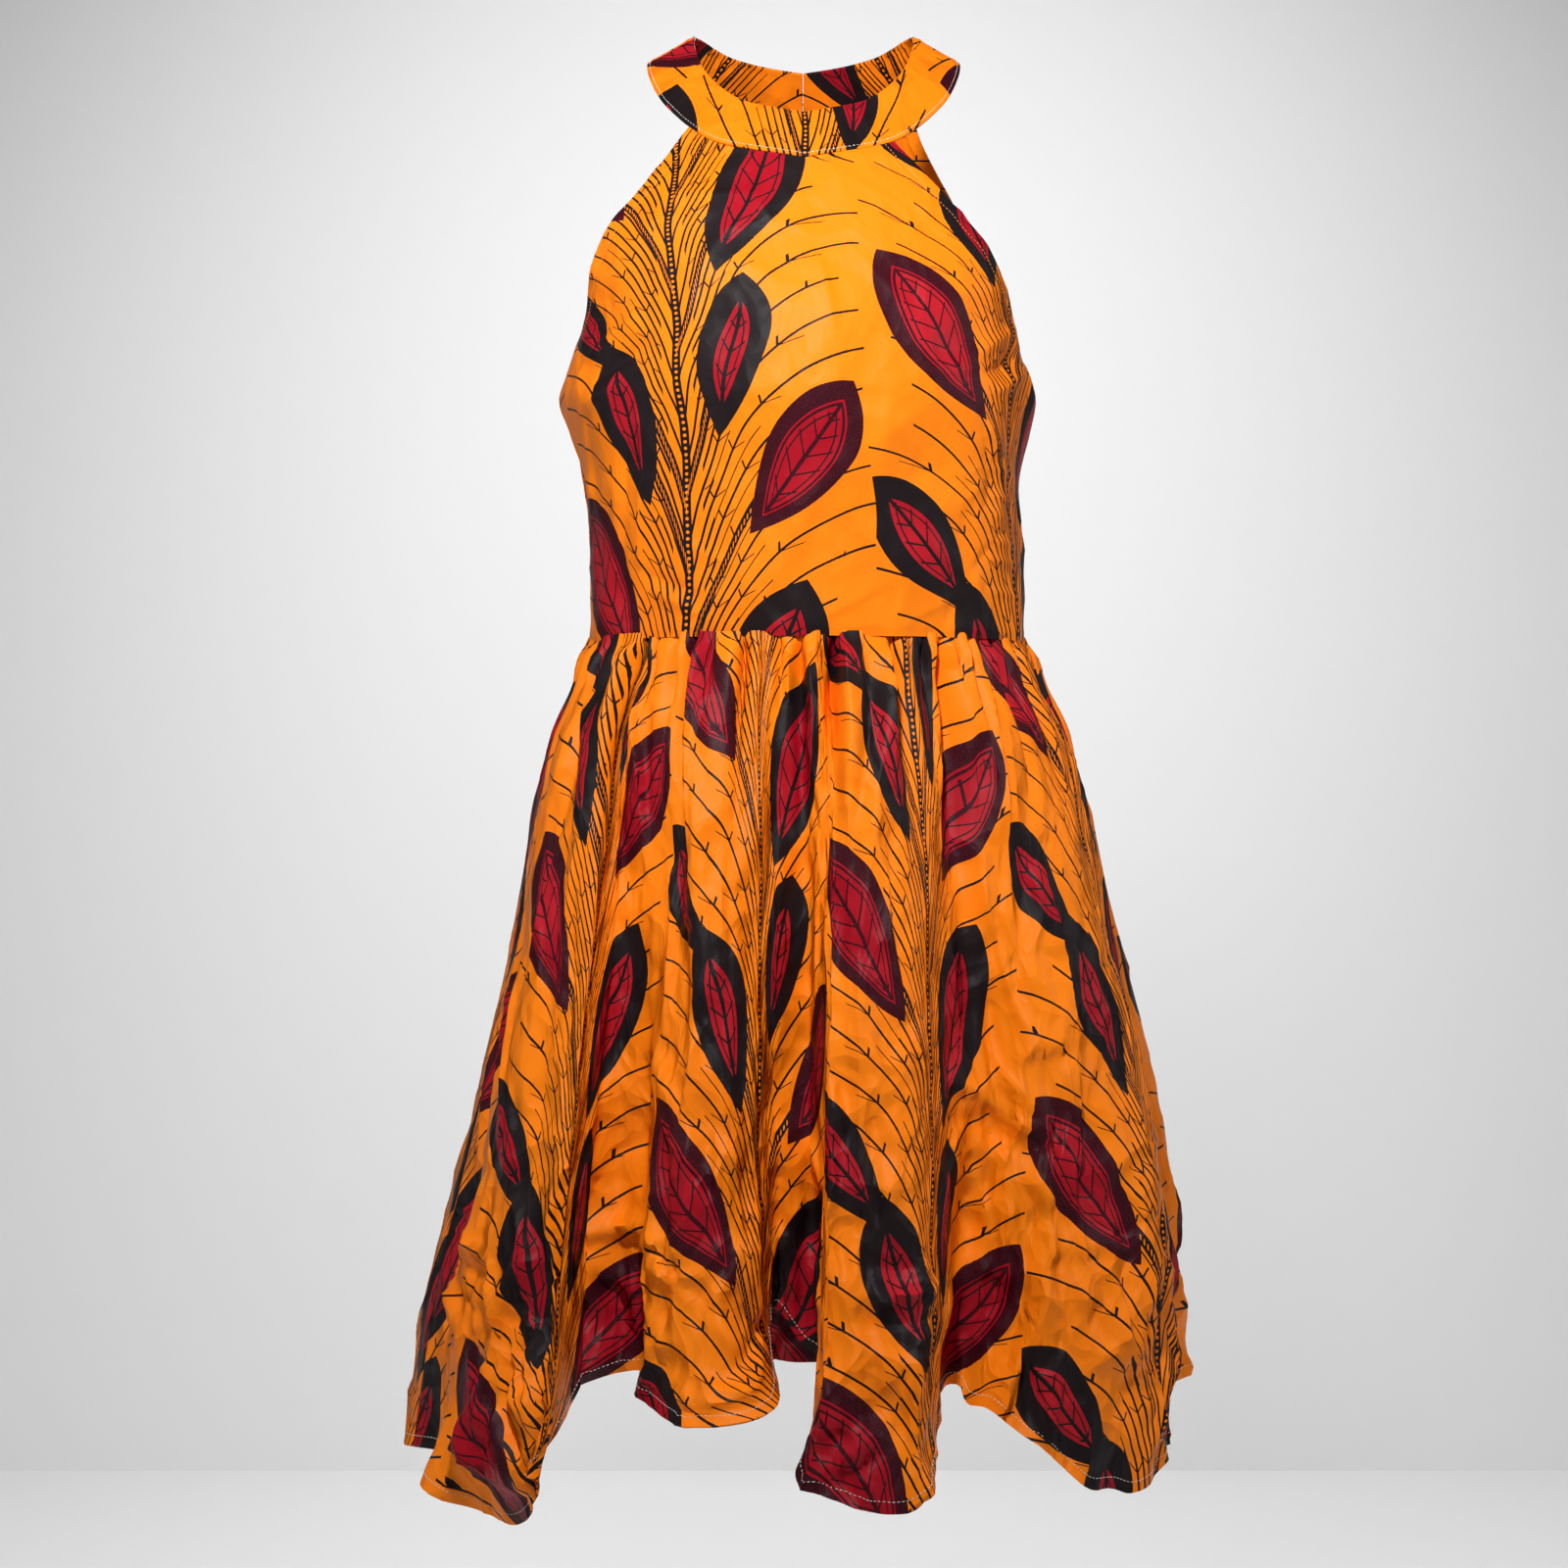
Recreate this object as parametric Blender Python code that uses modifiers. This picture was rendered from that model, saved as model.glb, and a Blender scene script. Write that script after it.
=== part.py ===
"""A halter dress in wax print cotton: round collar, loose bodice and a full gathered skirt.

Units are metres and degrees, +Z up, with the dress facing -Y. The origin is the middle of the
neck hole at shoulder height, where the neck and shoulders of the wearer hold the collar up.
Angles around the body run from 0 at the centre front through 90 at +X to 180 at the centre back.
Every cloth piece is a wall whose outer face is a loft through the short tables below.
"""
import math
from collections import namedtuple

import bmesh
import bpy
import numpy as np
from mathutils import Matrix, Vector

MM = 0.001

# Cloth and seams
CLOTH = 1.5 * MM
COLLAR_CLOTH = 2.2 * MM
SEAM_GAP = 0.3 * MM

# Height of the waist seam and the fineness of the lofts
WAIST_Z = -0.4165
SKIRT_GATHERS = 44
COLUMNS_PER_GATHER = 6
BODICE_COLUMNS = 24
COLLAR_STEP = 7.5

# Where the collar ends stop short of each other, and where the bodice meets the collar
COLLAR_OPENING = 1.2 * MM
FRONT_CORNERS = (-45.9, 33.6)
BACK_CORNERS = (222.0, 138.0)

# The slit below the collar at the centre back
SLIT_FOOT = 0.62
SLIT_HALF_GAP = 3.5 * MM

# Button and loop at the nape
BUTTON_ANGLE = 174.5
BUTTON_RADIUS = 7.5 * MM
BUTTON_THICKNESS = 2.8 * MM
SHANK_RADIUS = 2.0 * MM
SHANK_LENGTH = 3.2 * MM
LOOP_RADIUS = 0.95 * MM
LOOP_REACH = 3.9 * MM
LOOP_LIFT = 0.4 * MM
LOOP_END_ANGLE = 184.5

# Neck hole and the outer edge of the collar, seen from above
NeckRing = namedtuple("NeckRing", "half_width front back")
INNER_RING = NeckRing(0.0785, 0.0640, 0.0660)
OUTER_RING = NeckRing(0.1120, 0.0905, 0.0980)

# Height of the collar's two edges around the neck
NeckStation = namedtuple("NeckStation", "angle inner_z outer_z")
NECK = (
    NeckStation(0, -0.0516, -0.0877),
    NeckStation(30, -0.0425, -0.0760),
    NeckStation(60, -0.0176, -0.0425),
    NeckStation(80, 0.0047, -0.0150),
    NeckStation(95, 0.0175, -0.0015),
    NeckStation(110, 0.0190, -0.0025),
    NeckStation(140, 0.0120, -0.0160),
    NeckStation(180, 0.0050, -0.0290),
)

# Bodice levels from the waist, rise 0, to the collar, rise 1. The armpit is at rise 0.53.
# bend is the half angle of the curve that the level makes round the body.
Level = namedtuple("Level", "rise left right edge_y mid_y edge_z mid_z bend")
FRONT = (
    Level(0.00, -0.154, 0.159, 0.000, -0.118, -0.4165, -0.4165, 90),
    Level(0.13, -0.154, 0.159, 0.000, -0.124, -0.3720, -0.3740, 90),
    Level(0.33, -0.158, 0.157, 0.000, -0.135, -0.3050, -0.3070, 90),
    Level(0.45, -0.169, 0.162, 0.000, -0.143, -0.2680, -0.2700, 90),
    Level(0.53, -0.176, 0.166, 0.000, -0.146, -0.2440, -0.2460, 90),
    Level(0.64, -0.156, 0.149, -0.048, -0.143, -0.1970, -0.2060, 78),
    Level(0.74, -0.147, 0.134, -0.080, -0.133, -0.1600, -0.1730, 66),
    Level(0.82, -0.133, 0.113, -0.090, -0.122, -0.1300, -0.1470, 57),
    Level(0.90, -0.108, 0.091, -0.086, -0.110, -0.1040, -0.1210, 49),
    Level(1.00, -0.080, 0.062, -0.069, -0.0905, -0.0650, -0.0877, 40),
)
BACK = (
    Level(0.00, -0.154, 0.159, 0.000, 0.108, -0.4165, -0.4165, 90),
    Level(0.13, -0.154, 0.159, 0.000, 0.106, -0.3720, -0.3720, 90),
    Level(0.33, -0.158, 0.157, 0.000, 0.112, -0.3050, -0.3050, 90),
    Level(0.45, -0.169, 0.162, 0.000, 0.117, -0.2680, -0.2680, 90),
    Level(0.53, -0.176, 0.166, 0.000, 0.120, -0.2440, -0.2400, 90),
    Level(0.64, -0.160, 0.152, 0.050, 0.122, -0.1900, -0.1880, 78),
    Level(0.74, -0.145, 0.139, 0.078, 0.122, -0.1450, -0.1430, 67),
    Level(0.83, -0.124, 0.120, 0.088, 0.119, -0.1000, -0.1010, 58),
    Level(0.92, -0.097, 0.095, 0.085, 0.111, -0.0560, -0.0640, 50),
    Level(1.00, -0.075, 0.075, 0.073, 0.098, -0.0155, -0.0290, 42),
)
COLLAR_BLEND = 0.16

# Upright falls of cloth from the bust to the waist, as soft ridges
BustFall = namedtuple("BustFall", "across width out top foot")
BUST_FALLS = (
    BustFall(-0.62, 0.10, 0.008, 0.74, 0.00),
    BustFall(0.60, 0.12, 0.004, 0.74, 0.00),
)

# Mean outline of the skirt from the waist, fall 0, to the hem, fall 1
SkirtRing = namedtuple("SkirtRing", "fall left right front back")
SKIRT = (
    SkirtRing(0.00, 0.154, 0.159, 0.118, 0.108),
    SkirtRing(0.05, 0.160, 0.167, 0.124, 0.114),
    SkirtRing(0.12, 0.177, 0.186, 0.136, 0.127),
    SkirtRing(0.25, 0.190, 0.206, 0.152, 0.144),
    SkirtRing(0.40, 0.203, 0.222, 0.165, 0.157),
    SkirtRing(0.60, 0.224, 0.245, 0.180, 0.173),
    SkirtRing(0.80, 0.248, 0.259, 0.191, 0.185),
    SkirtRing(1.00, 0.262, 0.258, 0.200, 0.195),
)
SKIRT_ROWS = (0, 0.03, 0.075, 0.13, 0.2, 0.29, 0.4, 0.53, 0.66, 0.79, 0.9, 1)

# The large folds: the angle of each ridge, flank or valley at the waist and at the hem, how far
# it stands out from the mean outline there, and the height of the hem on it. A steep flank has
# almost the same hem angle as the ridge beside it.
Fold = namedtuple("Fold", "waist hem out hem_z")
FOLDS = (
    Fold(-163, -163, 0.034, -0.968),
    Fold(-148, -148, -0.030, -0.957),
    Fold(-133, -131, 0.036, -0.972),
    Fold(-117, -114, -0.024, -0.974),
    Fold(-99, -95, 0.032, -0.990),
    Fold(-83, -76, 0.006, -0.984),
    Fold(-69, -59, 0.036, -0.994),
    Fold(-57, -45.5, 0.045, -1.000),
    Fold(-48, -34.5, 0.036, -0.978),
    Fold(-43, -39, -0.030, -0.921),
    Fold(-37, -30.5, -0.046, -0.913),
    Fold(-29, -22, 0.008, -0.930),
    Fold(-21, -11, 0.030, -0.937),
    Fold(-12, -6.5, 0.000, -0.918),
    Fold(-7, -4, -0.048, -0.892),
    Fold(-1, 1.2, -0.056, -0.900),
    Fold(3.5, 1.6, -0.012, -0.925),
    Fold(7, 1.4, 0.042, -0.972),
    Fold(18, 12.8, 0.046, -0.984),
    Fold(27, 18.8, 0.014, -0.955),
    Fold(34, 24.5, -0.030, -0.926),
    Fold(39, 28, -0.048, -0.922),
    Fold(49, 35.5, 0.004, -0.954),
    Fold(61, 46, 0.030, -0.988),
    Fold(69, 53.5, 0.032, -0.985),
    Fold(78, 72, 0.014, -0.970),
    Fold(89, 86, -0.010, -0.956),
    Fold(103, 101, 0.028, -0.942),
    Fold(118, 116, -0.028, -0.955),
    Fold(134, 133, 0.034, -0.970),
    Fold(149, 149, -0.030, -0.958),
    Fold(165, 165, 0.036, -0.970),
    Fold(181, 181, -0.034, -0.960),
)
FOLD_GROWTH = 0.95
LEAN_GROWTH = 0.8

# Depth of the waist gathers down the skirt
GatherDepth = namedtuple("GatherDepth", "fall depth")
GATHERS = (
    GatherDepth(0.00, 0.8 * MM),
    GatherDepth(0.03, 3.0 * MM),
    GatherDepth(0.10, 4.2 * MM),
    GatherDepth(0.20, 3.2 * MM),
    GatherDepth(0.40, 1.4 * MM),
    GatherDepth(0.70, 0.5 * MM),
    GatherDepth(1.00, 0.0),
)

PRINT_ORANGE = (0.90, 0.32, 0.015, 1.0)
BUTTON_BLACK = (0.02, 0.015, 0.015, 1.0)


def column(table, name):
    """One named column of a table as an array."""
    return np.array([getattr(row, name) for row in table], float)


def smooth(stations, values, at):
    """Reads values between stations along a cubic with no overshoot past flat stretches."""
    slopes = np.diff(values) / np.diff(stations)
    same_way = slopes[:-1] * slopes[1:] > 0
    sums = np.where(same_way, slopes[:-1] + slopes[1:], 1)
    middle = np.where(same_way, 2 * slopes[:-1] * slopes[1:] / sums, 0)
    tangents = np.concatenate([slopes[:1], middle, slopes[-1:]])
    i = int(np.clip(np.searchsorted(stations, at) - 1, 0, len(stations) - 2))
    step = stations[i + 1] - stations[i]
    t = (at - stations[i]) / step
    start = (1 + 2 * t) * (1 - t) ** 2 * values[i] + t * (1 - t) ** 2 * step * tangents[i]
    end = t * t * (3 - 2 * t) * values[i + 1] - t * t * (1 - t) * step * tangents[i + 1]
    return start + end


def read(table, key, names, at):
    """The named columns of a table, read at one value of its key column."""
    stations = column(table, key)
    return [smooth(stations, column(table, name), at) for name in names]


def eased(share):
    """A smooth step from 0 to 1."""
    share = min(max(share, 0.0), 1.0)
    return share * share * (3 - 2 * share)


def sin_cos(angle):
    return math.sin(math.radians(angle)), math.cos(math.radians(angle))


def ring_point(ring, angle, z):
    sine, cosine = sin_cos(angle)
    depth = ring.front if cosine > 0 else ring.back
    return np.array([ring.half_width * sine, -depth * cosine, z])


def collar_point(angle, across):
    """The collar's outer face, from the neck hole at across 0 to its outer edge at 1."""
    turned = abs((angle + 180) % 360 - 180)
    inner_z, outer_z = read(NECK, "angle", ("inner_z", "outer_z"), turned)
    inner = ring_point(INNER_RING, angle, inner_z)
    outer = ring_point(OUTER_RING, angle, outer_z)
    return inner + (outer - inner) * across


def level_point(table, across, rise, top_angles):
    """A point of a bodice panel: across runs -1 to 1 and rise runs 0 at the waist to 1 at the collar."""
    names = ("left", "right", "edge_y", "mid_y", "edge_z", "mid_z", "bend")

    def plain(level):
        left, right, edge_y, mid_y, edge_z, mid_z, bend = read(table, "rise", names, level)
        sine, cosine = sin_cos(across * bend)
        edge_sine, edge_cosine = sin_cos(bend)
        inwards = (cosine - edge_cosine) / (1 - edge_cosine)
        x = (left + right) / 2 + (right - left) / 2 * sine / edge_sine
        return np.array([x, edge_y + (mid_y - edge_y) * inwards, edge_z + (mid_z - edge_z) * inwards])

    first, last = top_angles
    top = collar_point(first + (last - first) * (across + 1) / 2, 1.0)
    to_collar = eased((rise - 1 + COLLAR_BLEND) / COLLAR_BLEND)
    return plain(rise) + (top - plain(1.0)) * to_collar


def front_point(across, rise):
    point = level_point(FRONT, across, rise, FRONT_CORNERS)
    for fall in BUST_FALLS:
        along = math.sin(math.pi * eased((rise - fall.foot) / (fall.top - fall.foot)))
        near = math.exp(-(((across - fall.across) / fall.width) ** 2))
        point = point + np.array([0.0, -fall.out * along * near, 0.0])
    return point


def back_point(across, rise):
    return level_point(BACK, across, rise, BACK_CORNERS)


def turned_folds(turn):
    """The fold table carried a whole turn onwards or back."""
    return tuple(fold._replace(waist=fold.waist + turn, hem=fold.hem + turn) for fold in FOLDS)


def fold_at(angle, name):
    """One column of the fold table at a waist angle, read all the way round the skirt."""
    lines = turned_folds(-360)[-3:] + FOLDS + turned_folds(360)[:3]
    turned = (angle + 180) % 360 - 180
    stations, values = column(lines, "waist"), column(lines, name)
    if name == "hem":
        return float(np.interp(turned, stations, values)) + angle - turned
    return smooth(stations, values, turned)


def skirt_point(angle, fall):
    """The skirt's outer face at a waist angle, from the waist at fall 0 to the hem at 1."""
    fall = min(max(fall, 0.0), 1.0)
    left, right, front, back = read(SKIRT, "fall", ("left", "right", "front", "back"), fall)
    lean = fall ** LEAN_GROWTH
    turn = angle + (fold_at(angle, "hem") - angle) * lean
    sine, cosine = sin_cos(turn)
    half_width = left + (right - left) * (1 + sine) / 2
    depth = back + (front - back) * (1 + cosine) / 2
    away = Vector((sine / half_width, -cosine / depth, 0)).normalized()
    gather = smooth(column(GATHERS, "fall"), column(GATHERS, "depth"), fall)
    wave = math.cos(math.radians(angle * SKIRT_GATHERS))
    out = fold_at(angle, "out") * fall ** FOLD_GROWTH + gather * wave
    z = WAIST_Z + (fold_at(angle, "hem_z") - WAIST_Z) * fall
    return np.array([half_width * sine + away.x * out, -depth * cosine + away.y * out, z])


def facing(surface, u, v, step_u, step_v, inside):
    """The unit normal of a surface, on the side away from the point called inside."""
    along_u = surface(u + step_u, v) - surface(u - step_u, v)
    along_v = surface(u, v + step_v) - surface(u, v - step_v)
    normal = np.cross(along_u, along_v)
    normal /= np.linalg.norm(normal)
    return normal if normal @ (surface(u, v) - inside) > 0 else -normal


def level_normal(normal):
    """A normal turned level, so that the wall's edge lies flat against the next piece."""
    flat = np.array([normal[0], normal[1], 0.0])
    return flat / np.linalg.norm(flat)


def shade(name, colour, roughness):
    material = bpy.data.materials.new(name)
    material.use_nodes = True
    shader = material.node_tree.nodes["Principled BSDF"]
    shader.inputs["Base Color"].default_value = colour
    shader.inputs["Roughness"].default_value = roughness
    shader.inputs["Metallic"].default_value = 0.0
    return material


def link(name, mesh, collection, colour, roughness):
    made = bpy.data.objects.new(name, mesh)
    collection.objects.link(made)
    mesh.materials.append(shade(name, colour, roughness))
    return made


def cloth_wall(name, outer, normals, thickness, collection):
    """A closed wall of cloth between a grid of outer points and the same grid moved inwards."""
    rows, columns = outer.shape[:2]
    inner = outer - normals * thickness
    mesh_points = np.concatenate([outer.reshape(-1, 3), inner.reshape(-1, 3)])
    form = bmesh.new()
    corners = [form.verts.new(point) for point in mesh_points]
    behind = rows * columns
    for i in range(rows - 1):
        for j in range(columns - 1):
            a, b = i * columns + j, (i + 1) * columns + j
            quad = (a, a + 1, b + 1, b)
            form.faces.new([corners[k] for k in quad])
            form.faces.new([corners[k + behind] for k in reversed(quad)])
    first_row = [j for j in range(columns)]
    last_column = [i * columns + columns - 1 for i in range(1, rows)]
    last_row = [(rows - 1) * columns + j for j in range(columns - 2, -1, -1)]
    first_column = [i * columns for i in range(rows - 2, 0, -1)]
    border = first_row + last_column + last_row + first_column
    for here, there in zip(border, border[1:] + border[:1]):
        form.faces.new([corners[k] for k in (there, here, here + behind, there + behind)])
    bmesh.ops.recalc_face_normals(form, faces=form.faces)
    mesh = bpy.data.meshes.new(name)
    form.to_mesh(mesh)
    form.free()
    mesh.shade_smooth()
    mesh.set_sharp_from_angle(angle=math.radians(50))
    return link(name, mesh, collection, PRINT_ORANGE, 0.7)


def part_seams(points, normals, first=0.0, last=0.0):
    """Moves the first and last columns along their rows, away from the next piece."""
    for edge, beside, share in ((0, 1, first), (-1, -2, last)):
        along = points[:, beside] - points[:, edge]
        along -= (along * normals[:, edge]).sum(axis=1, keepdims=True) * normals[:, edge]
        along /= np.linalg.norm(along, axis=1, keepdims=True)
        points[:, edge] += along * share


def make_collar(collection):
    """Front piece from shoulder to shoulder, and two back pieces that meet at the nape."""
    middle = np.array([0.0, 0.0, -0.2])
    pieces = (
        ("collar_front", -90.0, 90.0, SEAM_GAP / 2, SEAM_GAP / 2),
        ("collar_back_left", 90.0, 180.0, SEAM_GAP / 2, COLLAR_OPENING / 2),
        ("collar_back_right", -180.0, -90.0, COLLAR_OPENING / 2, SEAM_GAP / 2),
    )
    widths = (0.0, 0.35, 0.7, 1.0)
    for name, start, end, first, last in pieces:
        angles = np.linspace(start, end, int((end - start) / COLLAR_STEP) + 1)
        points = np.array([[collar_point(a, w) for a in angles] for w in widths])
        normals = np.array([[collar_normal(a, w, middle) for a in angles] for w in widths])
        part_seams(points, normals, first, last)
        cloth_wall(name, points, normals, COLLAR_CLOTH, collection)


def collar_normal(angle, across, middle):
    return facing(collar_point, angle, across, 0.5, 0.02, middle)


def bodice_grid(surface, acrosses, rises, corners, middle):
    """Points and normals of a bodice panel, with edges that lie flat against skirt and collar."""
    points = np.array([[surface(a, r) for a in acrosses] for r in rises])
    normals = np.array([[facing(surface, a, r, 0.004, 0.004, middle) for a in acrosses] for r in rises])
    neck_middle = np.array([0.0, 0.0, -0.2])
    for j, across in enumerate(acrosses):
        angle = corners[0] + (corners[1] - corners[0]) * (across + 1) / 2
        normals[0, j] = level_normal(normals[0, j])
        normals[-1, j] = collar_normal(angle, 1.0, neck_middle)
        down = collar_point(angle, 1.0) - collar_point(angle, 0.9)
        points[-1, j] += down / np.linalg.norm(down) * SEAM_GAP
        points[0, j, 2] += SEAM_GAP / 2
        if abs(across) == 1:
            for i in range(len(rises)):
                if rises[i] <= 0.53:
                    normals[i, j, 1] = 0.0
                    normals[i, j] /= np.linalg.norm(normals[i, j])
    return points, normals


def make_bodice(collection):
    middle = np.array([0.0, 0.0, -0.35])
    rises = np.array([0, 0.06, 0.13, 0.21, 0.29, 0.37, 0.45, 0.53, 0.6, 0.67, 0.74, 0.81, 0.88, 0.94, 1.0])
    acrosses = np.linspace(-1, 1, BODICE_COLUMNS + 1)
    points, normals = bodice_grid(front_point, acrosses, rises, FRONT_CORNERS, middle)
    part_seams(points, normals, SEAM_GAP / 2, SEAM_GAP / 2)
    cloth_wall("bodice_front", points, normals, CLOTH, collection)

    slit = np.array([slit_half_gap(rise) for rise in rises])[:, None]
    halves = (
        ("bodice_back_left", np.linspace(0, 1, BODICE_COLUMNS // 2 + 1), slit, SEAM_GAP / 2),
        ("bodice_back_right", np.linspace(-1, 0, BODICE_COLUMNS // 2 + 1), SEAM_GAP / 2, slit),
    )
    for name, acrosses, first, last in halves:
        points, normals = bodice_grid(back_point, acrosses, rises, BACK_CORNERS, middle)
        part_seams(points, normals, first, last)
        cloth_wall(name, points, normals, CLOTH, collection)


def slit_half_gap(rise):
    """Half the space between the back halves, which are sewn together up to the slit's foot."""
    share = (rise - SLIT_FOOT) / (1 - SLIT_FOOT)
    if share <= 0:
        return SEAM_GAP / 2
    return COLLAR_OPENING / 2 * share + SLIT_HALF_GAP * math.sin(math.pi * share) + SEAM_GAP / 2 * (1 - share)


def make_skirt(collection):
    """Front and back widths, seamed at the sides and gathered into the waist."""
    columns = SKIRT_GATHERS * COLUMNS_PER_GATHER // 2
    for name, start in (("skirt_front", -90.0), ("skirt_back", 90.0)):
        angles = np.linspace(start, start + 180, columns + 1)
        points = np.array([[skirt_point(a, f) for a in angles] for f in SKIRT_ROWS])
        normals = np.array([[skirt_normal(a, f) for a in angles] for f in SKIRT_ROWS])
        for j in range(len(angles)):
            normals[0, j] = level_normal(normals[0, j])
            points[0, j, 2] -= SEAM_GAP / 2
        part_seams(points, normals, SEAM_GAP / 2, SEAM_GAP / 2)
        cloth_wall(name, points, normals, CLOTH, collection)


def skirt_normal(angle, fall):
    step = 180 / SKIRT_GATHERS / COLUMNS_PER_GATHER
    axis_point = np.array([0.0, 0.0, skirt_point(angle, fall)[2]])
    return facing(skirt_point, angle, fall, step, 0.01, axis_point)


def make_button(collection):
    """A round button with a shank on the left end of the collar, and a cord loop from the right."""
    middle = np.array([0.0, 0.0, -0.2])
    seat = Vector(collar_point(BUTTON_ANGLE, 0.5))
    away = Vector(collar_normal(BUTTON_ANGLE, 0.5, middle))
    foot = seat + away * SEAM_GAP
    sideways = (Vector((-1, 0, 0)) - away * away.dot(Vector((-1, 0, 0)))).normalized()
    upwards = away.cross(sideways)

    top = SHANK_LENGTH + BUTTON_THICKNESS
    profile = (
        (0.0, top - 0.5 * MM),
        (BUTTON_RADIUS * 0.55, top - 0.5 * MM),
        (BUTTON_RADIUS * 0.75, top),
        (BUTTON_RADIUS * 0.93, top - 0.2 * MM),
        (BUTTON_RADIUS, top - BUTTON_THICKNESS / 2),
        (BUTTON_RADIUS * 0.9, SHANK_LENGTH),
        (SHANK_RADIUS, SHANK_LENGTH),
        (SHANK_RADIUS, 0.0),
        (0.0, 0.0),
    )
    mesh = bpy.data.meshes.new("nape_button")
    mesh.from_pydata([(r, 0, z) for r, z in profile], [(i, i + 1) for i in range(len(profile) - 1)], [])
    button = link("nape_button", mesh, collection, BUTTON_BLACK, 0.3)
    button.matrix_world = Matrix.Translation(foot) @ Matrix((sideways, upwards, away)).transposed().to_4x4()
    turn = button.modifiers.new("Turned", "SCREW")
    turn.steps = turn.render_steps = 20
    turn.use_merge_vertices = True
    turn.merge_threshold = 0.00001

    height = LOOP_RADIUS + LOOP_LIFT
    curve = bpy.data.curves.new("nape_loop", "CURVE")
    curve.dimensions = "3D"
    curve.bevel_depth = LOOP_RADIUS
    curve.bevel_resolution = 2
    curve.use_fill_caps = True
    degree = (Vector(collar_point(BUTTON_ANGLE + 1, 0.5)) - seat).length
    depth = (Vector(collar_point(BUTTON_ANGLE, 1.0)) - Vector(collar_point(BUTTON_ANGLE, 0.0))).length
    route = []
    for turned in range(-90, 91, 20):
        sine, cosine = sin_cos(turned)
        route.append((BUTTON_ANGLE - LOOP_REACH * cosine / degree, 0.5 + LOOP_REACH * sine / depth))
    ends = np.linspace(BUTTON_ANGLE, LOOP_END_ANGLE, 5)[1:]
    route = [(a, route[0][1]) for a in ends[::-1]] + route + [(a, route[-1][1]) for a in ends]
    spline = curve.splines.new("POLY")
    spline.points.add(len(route) - 1)
    for point, (angle, across) in zip(spline.points, route):
        place = collar_point(angle, across) + collar_normal(angle, across, middle) * height
        point.co = (*place, 1.0)
    loop = bpy.data.objects.new("nape_loop", curve)
    collection.objects.link(loop)
    curve.materials.append(shade("nape_loop", PRINT_ORANGE, 0.7))


def main():
    for old in list(bpy.data.objects):
        bpy.data.objects.remove(old, do_unlink=True)
    dress = bpy.data.collections.new("halter_dress")
    bpy.context.scene.collection.children.link(dress)
    make_collar(dress)
    make_bodice(dress)
    make_skirt(dress)
    make_button(dress)


main()
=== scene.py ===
"""The looks of the wax print dress: every cloth piece as a thin printed sheet on its CAD solid."""

import math
from collections import namedtuple

import bpy
import numpy as np
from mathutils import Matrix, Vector


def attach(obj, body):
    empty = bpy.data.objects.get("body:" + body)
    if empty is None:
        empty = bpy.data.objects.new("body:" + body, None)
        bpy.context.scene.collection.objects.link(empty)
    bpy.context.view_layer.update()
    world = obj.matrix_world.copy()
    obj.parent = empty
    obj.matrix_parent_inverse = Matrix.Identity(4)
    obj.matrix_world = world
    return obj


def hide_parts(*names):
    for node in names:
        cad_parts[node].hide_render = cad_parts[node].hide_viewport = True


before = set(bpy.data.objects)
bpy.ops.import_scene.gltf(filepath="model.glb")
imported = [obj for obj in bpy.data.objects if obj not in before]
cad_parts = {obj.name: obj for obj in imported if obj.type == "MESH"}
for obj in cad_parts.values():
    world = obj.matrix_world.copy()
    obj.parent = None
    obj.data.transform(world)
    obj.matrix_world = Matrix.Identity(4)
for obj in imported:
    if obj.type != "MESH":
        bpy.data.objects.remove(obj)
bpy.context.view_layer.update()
MM = 0.001

# The dress's own sizes, as in the CAD
WAIST_Z = -0.4165
COLLAR_THICKNESS = 2.2 * MM
COLLAR_OPENING = 1.2 * MM
FRONT_CORNERS = (-45.9, 33.6)
BACK_CORNERS = (222.0, 138.0)
SLIT_FOOT = 0.62
SLIT_HALF_GAP = 3.5 * MM
ARMHOLE_FOOT = 0.53

# The cloth, its seams and hems
CLOTH_THICKNESS = 0.7 * MM
HEM_THICKNESS = 1.5 * MM
HEM_DEPTH = 9 * MM
HEM_STEP = 0.8 * MM
HEM_RIPPLE = 1.1 * MM
HEM_RIPPLE_PITCH = 0.043
EDGE_RELIEF = 0.5 * MM
SEAM_DIP = 0.6 * MM
SEAM_WIDTH = 2 * MM
SEAM_HOLD = 8 * MM
OUTWARD_PULL = 1.2
WAIST_OVERLAP = 2.5 * MM
WAIST_INSET = 1.0 * MM / 0.14
WAIST_DROP = 1.2 * MM
COLLAR_SEAT = 0.9
COLLAR_SEAT_DEPTH = 1.6 * MM
COLLAR_ROUNDING = 0.8 * MM
TOPSTITCH = 2.6 * MM
HEM_STITCHING = 8 * MM
SMOOTH_ANGLE = 60

# The nape loop, which reaches round the button's shank
BUTTON_ANGLE = 174.5
LOOP_RADIUS = 0.95 * MM
LOOP_REACH = 3.9 * MM
LOOP_LIFT = 0.4 * MM
LOOP_TWIST = 2.4 * MM
LOOP_END_ANGLE = 184.5
LOOP_PLACES, LOOP_SIDES = 160, 16

NeckRing = namedtuple("NeckRing", "half_width front back")
INNER_RING = NeckRing(0.0785, 0.0640, 0.0660)
OUTER_RING = NeckRing(0.1120, 0.0905, 0.0980)

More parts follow.
